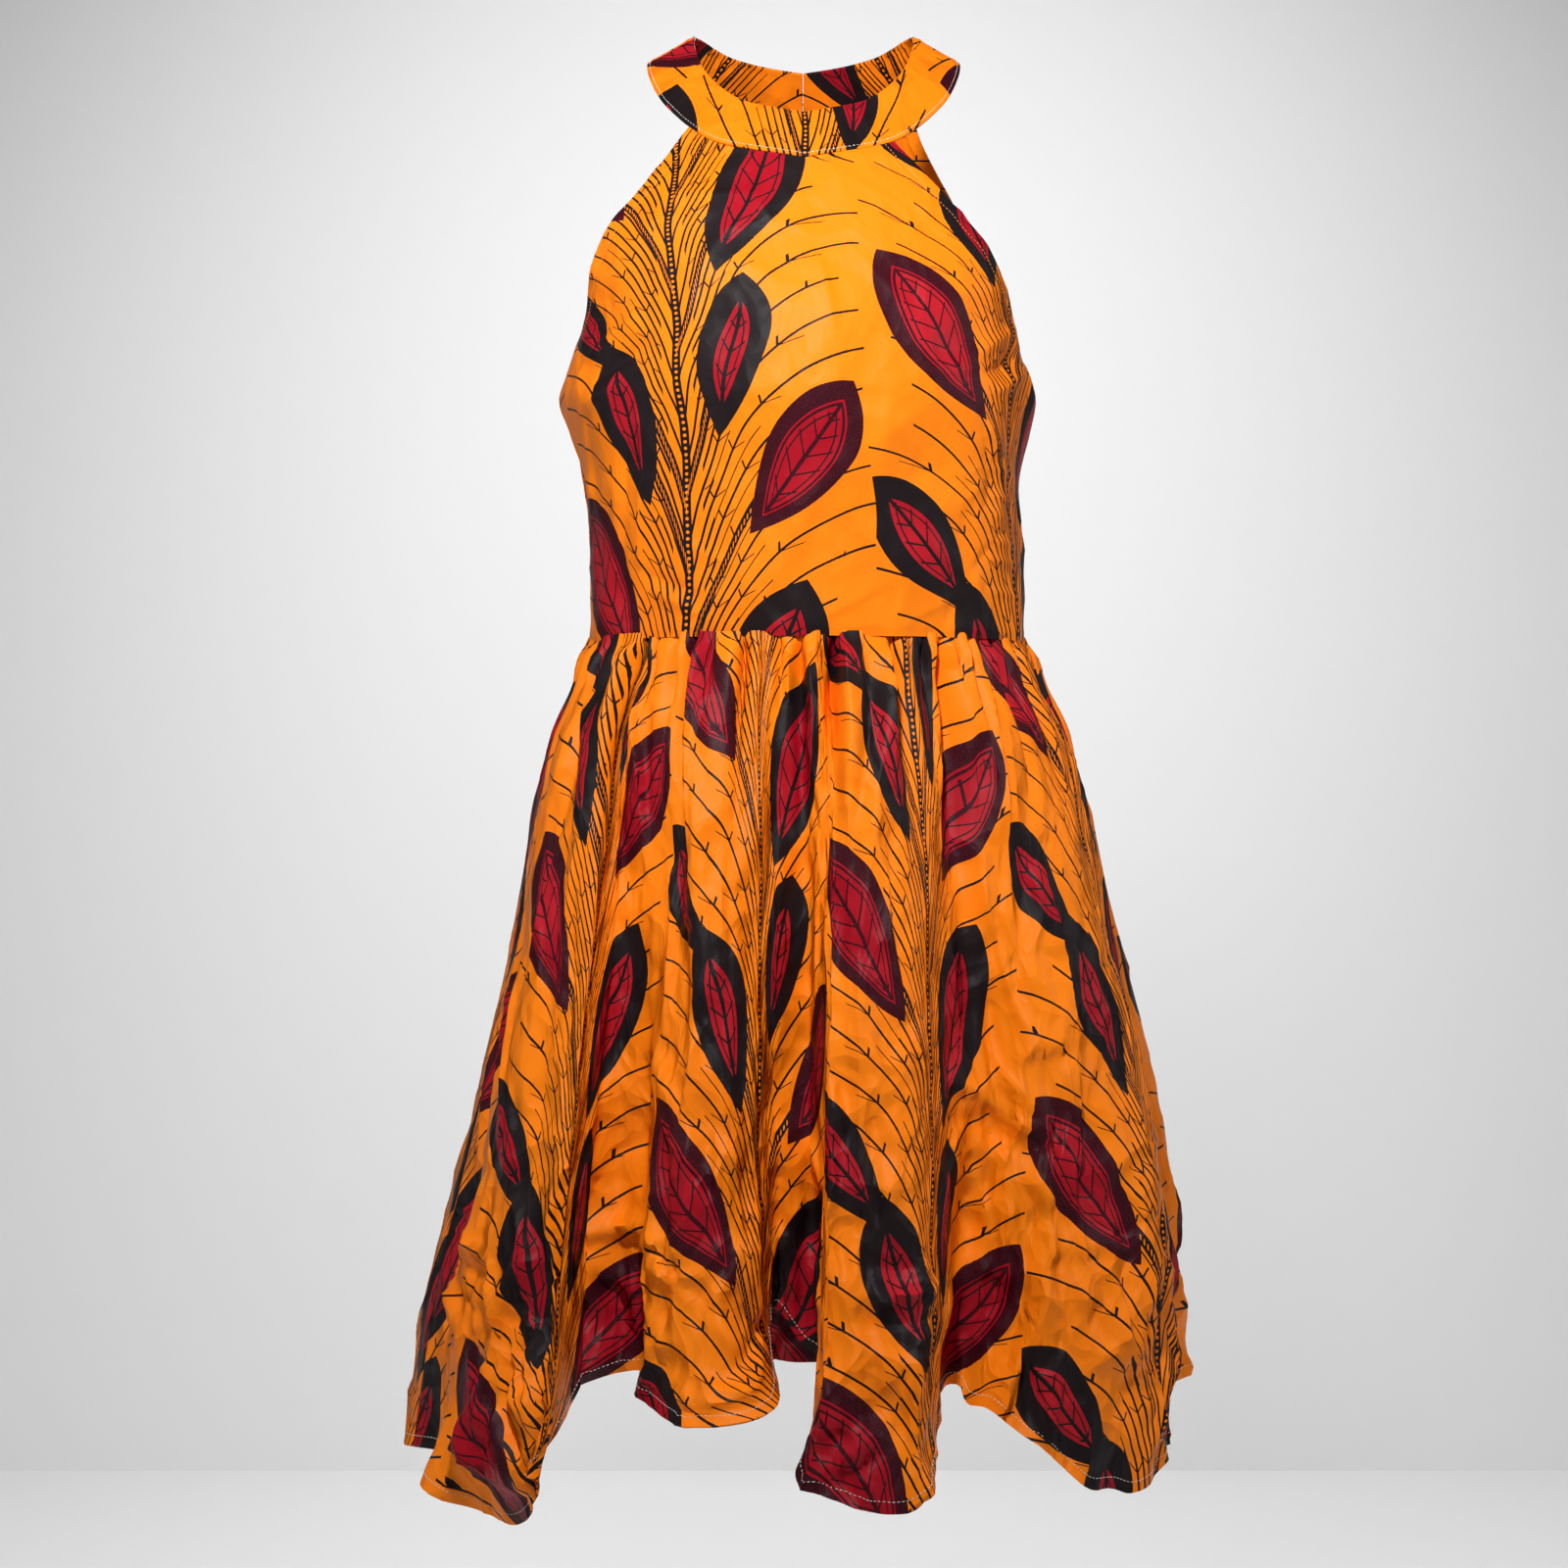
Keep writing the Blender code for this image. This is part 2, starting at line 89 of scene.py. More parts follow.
NeckStation = namedtuple("NeckStation", "angle inner_z outer_z")
NECK = tuple(NeckStation(*row) for row in (
    (0, -0.0516, -0.0877), (30, -0.0425, -0.0760), (60, -0.0176, -0.0425), (80, 0.0047, -0.0150),
    (95, 0.0175, -0.0015), (110, 0.0190, -0.0025), (140, 0.0120, -0.0160), (180, 0.0050, -0.0290),
))

Level = namedtuple("Level", "rise left right edge_y mid_y edge_z mid_z bend")
FRONT = (
    Level(0.00, -0.154, 0.159, 0.000, -0.118, -0.4165, -0.4165, 90),
    Level(0.13, -0.154, 0.159, 0.000, -0.124, -0.3720, -0.3740, 90),
    Level(0.33, -0.158, 0.157, 0.000, -0.135, -0.3050, -0.3070, 90),
    Level(0.45, -0.169, 0.162, 0.000, -0.143, -0.2680, -0.2700, 90),
    Level(0.53, -0.176, 0.166, 0.000, -0.146, -0.2440, -0.2460, 90),
    Level(0.64, -0.156, 0.149, -0.048, -0.143, -0.1970, -0.2060, 78),
    Level(0.74, -0.147, 0.134, -0.080, -0.133, -0.1600, -0.1730, 66),
    Level(0.82, -0.133, 0.113, -0.090, -0.122, -0.1300, -0.1470, 57),
    Level(0.90, -0.108, 0.091, -0.086, -0.110, -0.1040, -0.1210, 49),
    Level(1.00, -0.080, 0.062, -0.069, -0.0905, -0.0650, -0.0877, 40),
)
BACK = (
    Level(0.00, -0.154, 0.159, 0.000, 0.108, -0.4165, -0.4165, 90),
    Level(0.13, -0.154, 0.159, 0.000, 0.106, -0.3720, -0.3720, 90),
    Level(0.33, -0.158, 0.157, 0.000, 0.112, -0.3050, -0.3050, 90),
    Level(0.45, -0.169, 0.162, 0.000, 0.117, -0.2680, -0.2680, 90),
    Level(0.53, -0.176, 0.166, 0.000, 0.120, -0.2440, -0.2400, 90),
    Level(0.64, -0.160, 0.152, 0.050, 0.122, -0.1900, -0.1880, 78),
    Level(0.74, -0.145, 0.139, 0.078, 0.122, -0.1450, -0.1430, 67),
    Level(0.83, -0.124, 0.120, 0.088, 0.119, -0.1000, -0.1010, 58),
    Level(0.92, -0.097, 0.095, 0.085, 0.111, -0.0560, -0.0640, 50),
    Level(1.00, -0.075, 0.075, 0.073, 0.098, -0.0155, -0.0290, 42),
)
COLLAR_BLEND = 0.16

BustFall = namedtuple("BustFall", "across width out top foot")
BUST_FALLS = (
    BustFall(-0.62, 0.10, 0.008, 0.74, 0.00),
    BustFall(0.60, 0.12, 0.004, 0.74, 0.00),
)

SkirtRing = namedtuple("SkirtRing", "fall left right front back")
SKIRT = (
    SkirtRing(0.00, 0.154, 0.159, 0.118, 0.108),
    SkirtRing(0.05, 0.160, 0.167, 0.124, 0.114),
    SkirtRing(0.12, 0.177, 0.186, 0.136, 0.127),
    SkirtRing(0.25, 0.190, 0.206, 0.152, 0.144),
    SkirtRing(0.40, 0.203, 0.222, 0.165, 0.157),
    SkirtRing(0.60, 0.224, 0.245, 0.180, 0.173),
    SkirtRing(0.80, 0.248, 0.259, 0.191, 0.185),
    SkirtRing(1.00, 0.262, 0.258, 0.200, 0.195),
)

Fold = namedtuple("Fold", "waist hem out hem_z")
FOLDS = tuple(Fold(*row) for row in (
    (-163, -163, 0.034, -0.968), (-148, -148, -0.030, -0.957), (-133, -131, 0.036, -0.972),
    (-117, -114, -0.024, -0.974), (-99, -95, 0.032, -0.990), (-83, -76, 0.006, -0.984),
    (-69, -59, 0.036, -0.994), (-57, -45.5, 0.045, -1.000), (-48, -34.5, 0.036, -0.978),
    (-43, -39, -0.030, -0.921), (-37, -30.5, -0.046, -0.913), (-29, -22, 0.008, -0.930),
    (-21, -11, 0.030, -0.937), (-12, -6.5, 0.000, -0.918), (-7, -4, -0.048, -0.892),
    (-1, 1.2, -0.056, -0.900), (3.5, 1.6, -0.012, -0.925), (7, 1.4, 0.042, -0.972),
    (18, 12.8, 0.046, -0.984), (27, 18.8, 0.014, -0.955), (34, 24.5, -0.030, -0.926),
    (39, 28, -0.048, -0.922), (49, 35.5, 0.004, -0.954), (61, 46, 0.030, -0.988),
    (69, 53.5, 0.032, -0.985), (78, 72, 0.014, -0.970), (89, 86, -0.010, -0.956),
    (103, 101, 0.028, -0.942), (118, 116, -0.028, -0.955), (134, 133, 0.034, -0.970),
    (149, 149, -0.030, -0.958), (165, 165, 0.036, -0.970), (181, 181, -0.034, -0.960),
))
FOLD_GROWTH = 0.95
LEAN_GROWTH = 0.8

# The stage, and the camera at the photograph's viewing angle
FLOOR_Z = -1.90
BACKDROP_Y = 4.0
STAGE_SIZE = 9
SENSOR_WIDTH = 36
FOCAL_PIXELS, FRAME_PIXELS = 3143, 1600
EYE = (-0.014, -2.2, -0.518)

# Points inside the dress, which tell the outer side of a sheet
IN_SKIRT = np.array([0, 0, -0.7])
IN_BODICE = np.array([0, 0, -0.35])
IN_COLLAR = np.array([0, 0, -0.2])

# How low down the skirt's width is measured, and in how many steps
WIDEST_FALL = 0.85
HEM_SAMPLES = 1500

# Fineness of the sheets, and how the skirt's rows spread downwards
SKIRT_ROW_SPREAD = 1.1
SKIRT_COLUMNS, SKIRT_ROWS = 400, 122
BODICE_COLUMNS, BODICE_ROWS = 180, 170
COLLAR_COLUMNS, COLLAR_ROWS = 150, 16

# The tucks that gather the skirt into the waist seam: how deep each one is in millimetres, how far
# it runs down the skirt, and whether the cloth on its right (1) or its left (-1) laps over it
Tuck = namedtuple("Tuck", "angle depth reach lap")
FRONT_TUCKS = tuple(Tuck(*row) for row in (
    (-87, 9, 0.20, 0.0), (-81, 7, 0.10, 0.0), (-76, 10, 0.30, 0.5), (-69, 8, 0.12, 0.0),
    (-62, 12, 0.36, -0.5), (-54, 8, 0.10, 0.0), (-46.7, 20, 0.55, -1.0), (-41.5, 8, 0.09, 0.0),
    (-34.5, 12, 0.20, 0.5), (-28.3, 22, 0.80, 1.0), (-23.5, 8, 0.10, 0.0), (-15.9, 16, 0.34, -0.6),
    (-11.0, 8, 0.10, 0.0), (-6.0, 12, 0.18, 0.3), (-0.8, 15, 0.40, 0.6), (3.6, 7, 0.10, 0.0),
    (8.0, 21, 0.42, 1.2), (14.5, 8, 0.12, 0.0), (22.0, 14, 0.38, -0.9), (27.5, 7, 0.08, 0.0),
    (32.0, 15, 0.26, 0.4), (37.5, 20, 0.60, 0.6), (41.5, 8, 0.10, 0.0), (45.5, 14, 0.22, -0.4),
    (50.0, 9, 0.11, 0.0), (55.0, 13, 0.25, -0.6), (60.5, 9, 0.12, 0.0), (67.0, 12, 0.30, 0.3),
    (74.0, 9, 0.14, 0.4), (80.0, 11, 0.28, 0.0), (87.0, 8, 0.18, 0.0),
))
BACK_TUCK_COUNT = 29
BACK_TUCK_SEED = 7
BACK_TUCK_ENDS = (92, 268)
BACK_TUCK_SHIFT = 1.6
BACK_TUCK_RANGES = ((7, 16), (0.15, 0.5), (-1, 1))
TUCK_DEPTH = 1.0 * MM
FINE_GATHERS = 0.9 * MM
BUNCHING = 0.86
BUNCHING_REACH = 0.3

# Creases that show from the front, each a straight stroke between two places in the front view,
# with its half width and its height, all in millimetres. A trough has a height below 0. A stroke
# with a lap is a fold, steep on one side and sloping away on its right (1) or its left (-1).
Stroke = namedtuple("Stroke", "x z to_x to_z width height lap", defaults=(0,))
CREST = 1.35
STROKE_ENDS = 0.6
FOLD_EDGE = 1.3 * MM
FOLD_LIFT = 1.3
CREASE_LIMIT = 11 * MM


def strokes_in_mm(*rows):
    """Strokes with their places turned from millimetres to metres."""
    return tuple(Stroke(*(place / 1000 for place in row[:4]), *row[4:]) for row in rows)


SKIRT_STROKES = strokes_in_mm(
    (-113, -423, -123, -556, 6, 4.8), (-104, -423, -112, -560, 5, -5.6), (-68, -424, -71, -690, 6, 6.4),
    (-79, -424, -82, -690, 5, -8.0), (57, -438, 31, -652, 6, 7.2), (47, -438, 19, -652, 7, -5.6),
    (68, -450, 50, -620, 6, -4.0), (104, -722, 150, -752, 5, 4.8), (96, -736, 150, -765, 5, -4.8),
    (100, -762, 138, -772, 4, 3.2), (173, -700, 178, -830, 5, 3.5), (163, -700, 169, -830, 6, -2.9),
    (138, -800, 132, -900, 7, 2.6), (196, -620, 206, -760, 6, 2.9), (120, -560, 150, -660, 7, 2.6),
    (-150, -818, -100, -812, 5, 5.6), (-150, -829, -104, -824, 5, -5.6),
    (-149, -838, -105, -864, 5, 4.8), (-144, -852, -112, -872, 5, -4.0),
    (-120, -800, -92, -786, 4, 3.2), (-134, -640, -118, -760, 6, 2.9), (-106, -560, -98, -700, 7, 2.6),
    (-4, -966, 58, -918, 5, 8.0), (-4, -982, 60, -934, 6, -8.0), (26, -846, 90, -850, 8, 5.0),
    (26, -868, 90, -866, 7, -6.0), (70, -862, 94, -832, 4, 4.8), (74, -862, 69, -912, 4, 4.2),
    (64, -862, 60, -912, 5, -3.5), (36, -640, 66, -672, 5, 2.9), (30, -668, 60, -700, 5, -2.9),
    (40, -700, 50, -800, 6, 2.6), (18, -700, 14, -850, 5, 3.5), (10, -700, 6, -850, 5, -3.2),
    (-246, -828, -205, -838, 4, 4.8), (-244, -838, -206, -848, 4, -4.8),
    (-240, -870, -214, -900, 4, 5.6), (-226, -850, -190, -905, 4, 4.8),
    (-170, -800, -158, -910, 4, 5.6), (-178, -800, -168, -910, 4, -5.6),
    (-190, -850, -176, -950, 4, 4.8), (-205, -900, -168, -955, 4, 4.8),
    (-225, -925, -180, -968, 4, 4.8), (-100, -905, -50, -925, 4, 4.0), (-50, -925, -26, -880, 4, 4.8),
    (-36, -820, -26, -876, 4, 5.6), (-22, -790, -16, -880, 4, 4.8), (-10, -800, -6, -890, 4, 4.8),
    (160, -560, 152, -660, 5, 3.2), (150, -560, 143, -660, 6, -3.0), (128, -640, 158, -700, 5, 3.0),
    (206, -800, 214, -900, 5, 3.6), (196, -800, 204, -900, 6, -3.2), (222, -780, 236, -880, 5, 3.8),
    (102, -900, 150, -930, 5, 2.8), (110, -840, 160, -850, 5, 3.2), (110, -852, 156, -862, 5, -3.0),
    (130, -470, 148, -560, 6, 3.0), (84, -450, 100, -560, 6, -3.2), (-140, -480, -160, -620, 6, 3.6),
    (-150, -480, -170, -620, 6, -3.4), (-180, -640, -200, -780, 6, 3.0),
    (-196, -700, -186, -820, 5, -3.4), (-214, -740, -224, -840, 5, 3.2), (-88, -700, -80, -800, 6, 2.8),
    (-60, -720, -66, -820, 6, -3.0), (-44, -560, -48, -700, 6, 3.6), (-34, -560, -40, -700, 6, -3.6),
    (-18, -540, -14, -700, 5, 3.2), (40, -740, 52, -840, 6, -3.2), (62, -700, 58, -800, 6, 3.0),
    (31, -580, 34, -965, 5, 6.0), (14, -580, 14, -965, 9, -7.0), (-142, -640, -148, -965, 5, 6.0),
    (-126, -640, -130, -965, 9, -6.0), (-72, -640, -78, -900, 6, 5.0), (-90, -640, -96, -900, 8, -5.0),
    (93, -520, 94, -950, 8, -7.0), (116, -560, 120, -940, 7, 5.0), (160, -720, 166, -960, 6, 4.5),
    (146, -720, 150, -960, 8, -4.0), (-238, -850, -224, -990, 4, 4.5),
    (-225, -830, -208, -985, 4, -4.5), (-212, -810, -197, -990, 4, 5.0),
    (-200, -850, -187, -980, 4, -4.5), (-190, -790, -178, -975, 4, 5.0),
    (-179, -810, -169, -965, 4, -5.0), (-168, -770, -160, -955, 4, 4.5),
    (-186, -560, -200, -800, 7, 4.5), (-170, -560, -182, -800, 7, -4.5),
    (-150, -827, -88, -819, 16, 6.5, -1), (-84, -810, -98, -861, 8, 4.5, 1),
    (-98, -861, -134, -888, 10, 4.5, 1), (-120, -828, -88, -845, 6, 4, -1),
    (-98, -861, -88, -899, 7, 4, 1), (-142, -844, -116, -871, 7, 4, -1),
    (-112, -917, -74, -927, 14, -6, 1), (-78, -927, -42, -920, 14, -6, 1),
    (-46, -923, -31, -895, 14, -6, 1), (-33, -902, -27, -863, 12, -5, 1),
    (-47, -748, -33, -867, 8, 4.5, 1), (-37, -729, -26, -892, 6, 4.5, -1),
    (-26, -748, -19, -905, 6, 4.5, 1), (-13, -748, -13, -902, 6, 4.5, -1),
    (-2, -767, -6, -902, 6, 4, 1), (-55, -671, -45, -774, 10, 4, -1), (-187, -831, -192, -871, 6, 5, 1),
    (-192, -867, -196, -904, 6, 5, -1), (-196, -899, -184, -938, 6, 5, 1),
    (-180, -830, -171, -870, 6, 5, -1), (-171, -866, -178, -903, 6, 5, 1),
    (-178, -899, -167, -931, 6, 5, -1), (-167, -828, -162, -863, 5, 4.5, 1),
    (-162, -861, -167, -898, 5, 4.5, -1), (-167, -894, -159, -931, 5, 4.5, 1),
    (-247, -952, -216, -980, 20, 7, -1), (-222, -978, -183, -978, 22, 7, -1),
    (-191, -981, -170, -957, 18, 6, -1), (-206, -927, -180, -981, 6, 4.5, 1),
    (-220, -932, -206, -985, 6, 4.5, -1), (-197, -925, -171, -966, 5, 4.5, 1),
    (-233, -935, -222, -976, 6, 4, 1), (-252, -811, -215, -839, 12, 6, -1),
    (-249, -831, -219, -848, 8, 5, -1), (-244, -857, -221, -871, 8, 4, -1),
    (-130, -658, -162, -780, 12, 6, 1), (-160, -771, -175, -848, 12, 6, 1),
    (-142, -710, -151, -799, 8, -4, 1), (-91, -738, -84, -840, 12, 5, -1),
    (-73, -684, -82, -746, 12, 5, -1), (6, -671, 5, -972, 14, 6, -1), (33, -633, 33, -771, 16, 5, -1),
    (33, -761, 43, -828, 16, 5, -1), (41, -819, 52, -913, 14, 5, -1), (37, -855, 88, -841, 12, 6.5, -1),
    (86, -845, 73, -912, 9, 5, 1), (50, -870, 82, -877, 8, 4, -1), (-4, -980, 9, -961, 30, 8, 1),
    (4, -966, 54, -923, 30, 8, 1), (72, -883, 72, -987, 9, 5, 1), (87, -640, 92, -723, 12, -5, -1),
    (92, -712, 92, -817, 12, -5, -1), (92, -810, 97, -863, 12, -5, -1),
    (96, -716, 146, -747, 14, 6.5, -1), (139, -743, 165, -757, 12, 5.5, -1),
    (114, -733, 154, -764, 8, -4, 1), (125, -710, 156, -742, 8, 4, -1),
    (136, -703, 180, -693, 9, 4.5, -1), (182, -702, 184, -808, 14, 5.5, 1),
    (179, -813, 173, -838, 8, 4.5, 1), (173, -833, 187, -874, 8, 4.5, -1),
    (159, -832, 224, -829, 9, 4.5, -1), (191, -857, 211, -888, 9, 4.5, -1),
    (209, -883, 232, -925, 9, 4.5, -1), (139, -857, 165, -902, 9, 4, 1),
    (215, -640, 224, -716, 12, 5.5, 1), (223, -706, 235, -810, 12, 5.5, 1),
    (233, -799, 242, -906, 12, 5.5, 1), (104, -891, 108, -930, 6, 5, 1),
    (116, -895, 121, -931, 6, 5, -1), (132, -899, 137, -938, 6, 5, 1), (152, -915, 161, -959, 8, 4, -1),
    (197, -927, 193, -978, 8, 4.5, 1), (-119, -424, -108, -577, 14, 6.5, 1),
    (-72, -424, -75, -564, 12, 5.5, 1), (24, -424, 27, -570, 14, 6.5, -1),
    (57, -426, 60, -551, 9, 4.5, 1), (97, -433, 102, -590, 10, -5, -1),
    (-40, -426, -45, -544, 9, 4.5, -1), (-142, -426, -153, -557, 10, 4.5, -1),
    (124, -439, 139, -557, 10, 4.5, 1), (-10, -426, -6, -544, 9, 4, 1),
    (-169, -550, -189, -673, 12, 5, -1), (-193, -633, -206, -761, 12, 5, 1),
    (-216, -684, -230, -793, 10, 4.5, -1), (-94, -570, -99, -680, 12, 5, 1),
    (-53, -557, -55, -667, 10, 4.5, 1), (-23, -570, -20, -699, 8, 4.5, -1),
    (53, -557, 57, -654, 12, 5, 1), (115, -583, 141, -673, 12, 4.5, -1),
    (161, -570, 183, -673, 12, 5, 1), (69, -671, 82, -723, 9, 4, -1), (15, -710, 29, -742, 8, 4, 1),
    (146, -774, 171, -799, 8, 4, 1), (108, -774, 127, -831, 8, 4, -1), (-78, -761, -52, -812, 8, 4, 1),
    (-65, -838, -47, -889, 8, 4, -1),
)
BODICE_STROKES = strokes_in_mm(
    (-106, -245, -116, -405, 8, 4.5), (-124, -240, -128, -400, 10, -6.0),
    (-152, -226, -112, -198, 7, 5.2), (-146, -242, -106, -214, 6, -4.5),
    (-158, -262, -128, -244, 6, 3.0), (-112, -382, -62, -408, 4, 2.4), (-118, -370, -70, -392, 4, -2.4),
    (-90, -350, -50, -372, 4, 1.8), (128, -238, 156, -212, 6, -5.2), (120, -226, 150, -198, 5, 3.8),
    (134, -250, 160, -228, 5, 3.8), (100, -250, 140, -290, 7, 2.7), (2, -180, -2, -380, 14, 2.4),
    (60, -220, 48, -390, 12, 2.1), (-50, -200, -60, -330, 12, -2.1), (-40, -110, -20, -140, 5, 2.1),
)
RIPPLE_HEIGHTS = (-0.30, -0.318, -0.331, -0.349, -0.362, -0.384)
SIDE_RIPPLES = tuple(Stroke(0.128, z, 0.158, z - 0.004, 3, 1.6) for z in RIPPLE_HEIGHTS)

# Small creases that are scattered by seeded draws: their lengths in metres, and their half widths
# and greatest height in millimetres
CREASE_LENGTHS = (0.03, 0.11)
CREASE_WIDTHS = (3.5, 8)
CREASE_HEIGHT = 8.0
CREASE_TURN = 0.75
CREASE_WANDER = 5 * MM
SKIRT_CREASE_COUNT = 640
BODICE_CREASE_COUNT = 60
BODICE_CREASE_SEED = 12

# Crumples of the cloth: the size of a cell across and up, the seed, and the height in millimetres.
# The patches have no height, and only say where the fine crumples lie.
Crumple = namedtuple("Crumple", "across up seed height")
SKIRT_CRUMPLE = Crumple(0.055, 0.095, 3, 10.0)
SKIRT_FINE_CRUMPLES = (Crumple(0.026, 0.044, 9, 6.0), Crumple(0.014, 0.020, 31, 2.0))
SKIRT_PATCHES = Crumple(0.11, 0.16, 21, 0)
BODICE_CRUMPLES = (Crumple(0.060, 0.080, 5, 4.0), Crumple(0.024, 0.030, 8, 1.5))
CRUMPLE_CELLS = 240

# Where the hem curls: the place on the waist that the columns start from, how far the curl
# spreads round it, how high up it starts, how far it moves the hem out and up, and whether it is
# a fold (1) or a roll (2). A few also move aside.
Curl = namedtuple("Curl", "angle spread height out up bend aside", defaults=(0,))
CURLS = tuple(Curl(*row) for row in (
    (-72, 5, 0.060, 0.020, 0.000, 1.5), (-62, 12, 0.090, -0.026, -0.008, 2.2),
    (-48.4, 2.2, 0.070, 0.000, 0.010, 1.3, -0.013), (-30, 4, 0.030, 0.006, 0.004, 1.0),
    (-18, 8, 0.042, 0.031, 0.010, 1.0), (-7, 3, 0.040, -0.012, 0.022, 1.0),
    (6, 1.3, 0.045, 0.004, 0.002, 1.2, -0.008), (9, 3, 0.050, 0.012, 0.004, 1.0),
    (21, 3, 0.036, 0.008, 0.002, 1.0), (44, 4, 0.030, 0.008, 0.002, 1.4),
    (42, 1.4, 0.030, 0.004, -0.007, 1.2), (64, 5, 0.045, -0.010, 0.002, 2.0),
    (69, 4, 0.050, 0.000, -0.009, 1.5), (120, 8, 0.040, 0.010, 0.004, 1.4),
    (165, 9, 0.050, -0.012, 0.002, 2.0), (210, 8, 0.040, 0.010, 0.005, 1.0),
    (245, 8, 0.045, -0.012, 0.002, 2.0),
))


def column(table, name):
    """One named column of a table as an array."""
    return np.array([getattr(row, name) for row in table], float)


def smooth(stations, values, at):
    """Reads values between stations along a cubic with no overshoot past flat stretches."""
    slopes = np.diff(values) / np.diff(stations)
    same_way = slopes[:-1] * slopes[1:] > 0
    sums = np.where(same_way, slopes[:-1] + slopes[1:], 1)
    middle = np.where(same_way, 2 * slopes[:-1] * slopes[1:] / sums, 0)
    tangents = np.concatenate([slopes[:1], middle, slopes[-1:]])
    i = np.clip(np.searchsorted(stations, at) - 1, 0, len(stations) - 2)
    step = stations[i + 1] - stations[i]
    t = (at - stations[i]) / step
    start = (1 + 2 * t) * (1 - t) ** 2 * values[i] + t * (1 - t) ** 2 * step * tangents[i]
    end = t * t * (3 - 2 * t) * values[i + 1] - t * t * (1 - t) * step * tangents[i + 1]
    return start + end


def read(table, key, names, at):
    """The named columns of a table, read at values of its key column."""
    stations = column(table, key)
    return [smooth(stations, column(table, name), at) for name in names]


def eased(share):
    """A smooth step from 0 to 1."""
    share = np.clip(share, 0.0, 1.0)
    return share * share * (3 - 2 * share)


def bell(distance, width):
    """1 where the distance is 0, falling smoothly to 0 on both sides."""
    return np.exp(-((distance / width) ** 2))


def unit(vectors):
    return vectors / np.maximum(np.linalg.norm(vectors, axis=-1, keepdims=True), 1e-12)


def collar_face(angle, across):
    """The collar's outer face, from the neck hole at across 0 to its outer edge at 1."""
    turned = np.abs((angle + 180) % 360 - 180)
    inner_z, outer_z = read(NECK, "angle", ("inner_z", "outer_z"), turned)
    sine, cosine = np.sin(np.radians(angle)), np.cos(np.radians(angle))
    rings = []
    for ring, z in ((INNER_RING, inner_z), (OUTER_RING, outer_z)):
        depth = np.where(cosine > 0, ring.front, ring.back)
        rings.append(np.stack([ring.half_width * sine, -depth * cosine, z], axis=-1))
    return rings[0] + (rings[1] - rings[0]) * across[..., None]


def bodice_face(table, corners, across, rise):
    """A bodice panel: across runs -1 to 1, and rise 0 at the waist to 1 at the collar."""
    names = ("left", "right", "edge_y", "mid_y", "edge_z", "mid_z", "bend")

    def plain(level):
        left, right, edge_y, mid_y, edge_z, mid_z, bend = read(table, "rise", names, level)
        turn, end = np.radians(across * bend), np.radians(bend)
        inwards = (np.cos(turn) - np.cos(end)) / (1 - np.cos(end))
        x = (left + right) / 2 + (right - left) / 2 * np.sin(turn) / np.sin(end)
        y, z = edge_y + (mid_y - edge_y) * inwards, edge_z + (mid_z - edge_z) * inwards
        return np.stack([x, y, z], axis=-1)

    first, last = corners
    top = collar_face(first + (last - first) * (across + 1) / 2, np.ones_like(across))
    to_collar = eased((rise - 1 + COLLAR_BLEND) / COLLAR_BLEND)[..., None]
    return plain(rise) + (top - plain(np.ones_like(rise))) * to_collar


def front_face(across, rise):
    points = bodice_face(FRONT, FRONT_CORNERS, across, rise)
    for fall in BUST_FALLS:
        along = np.sin(np.pi * eased((rise - fall.foot) / (fall.top - fall.foot)))
        points[..., 1] -= fall.out * along * bell(across - fall.across, fall.width)
    return points


def back_face(across, rise):
    return bodice_face(BACK, BACK_CORNERS, across, rise)


def turned_folds(turn):
    """The fold table carried a whole turn onwards or back."""
    return tuple(fold._replace(waist=fold.waist + turn, hem=fold.hem + turn) for fold in FOLDS)


def fold_at(angle, name):
    """One column of the fold table at waist angles from -120 to 300."""
    lines = turned_folds(-360)[-3:] + FOLDS + turned_folds(360)[:9]
    stations, values = column(lines, "waist"), column(lines, name)
    return np.interp(angle, stations, values) if name == "hem" else smooth(stations, values, angle)


def skirt_face(angle, fall, waist_angle=None):
    """The skirt without its tucks. waist_angle says where a column starts at the waist seam."""
    waist_angle = angle if waist_angle is None else waist_angle
    left, right, front, back = read(SKIRT, "fall", ("left", "right", "front", "back"), fall)
    turn = np.radians(waist_angle + (fold_at(angle, "hem") - waist_angle) * fall ** LEAN_GROWTH)
    sine, cosine = np.sin(turn), np.cos(turn)
    half_width = left + (right - left) * (1 + sine) / 2
    depth = back + (front - back) * (1 + cosine) / 2
    away = unit(np.stack([sine / half_width, -cosine / depth, np.zeros_like(sine)], axis=-1))
    out = fold_at(angle, "out") * fall ** FOLD_GROWTH
    z = WAIST_Z + (fold_at(angle, "hem_z") - WAIST_Z) * fall
    return np.stack([half_width * sine, -depth * cosine, z], axis=-1) + away * out[..., None]


def grid_normals(points, inside):
    """Unit normals of a grid of points, on the side away from a point inside."""
    normals = unit(np.cross(np.gradient(points, axis=1), np.gradient(points, axis=0)))
    outwards = ((points - inside) * normals).sum(-1).mean() > 0
    return normals if outwards else -normals


def nothing_selected():
    if bpy.context.object and bpy.context.object.mode != "OBJECT":
        bpy.ops.object.mode_set(mode="OBJECT")
    bpy.ops.object.select_all(action="DESELECT")


def hem_share(distance):
    """How thick the cloth is, from 1 in a hem to the share of a single layer."""
    single = CLOTH_THICKNESS / HEM_THICKNESS
    return single + (1 - single) * (1 - eased((distance - HEM_DEPTH) / HEM_STEP))


def smooth_faces(piece):
    for face in piece.data.polygons:
        face.use_smooth = True


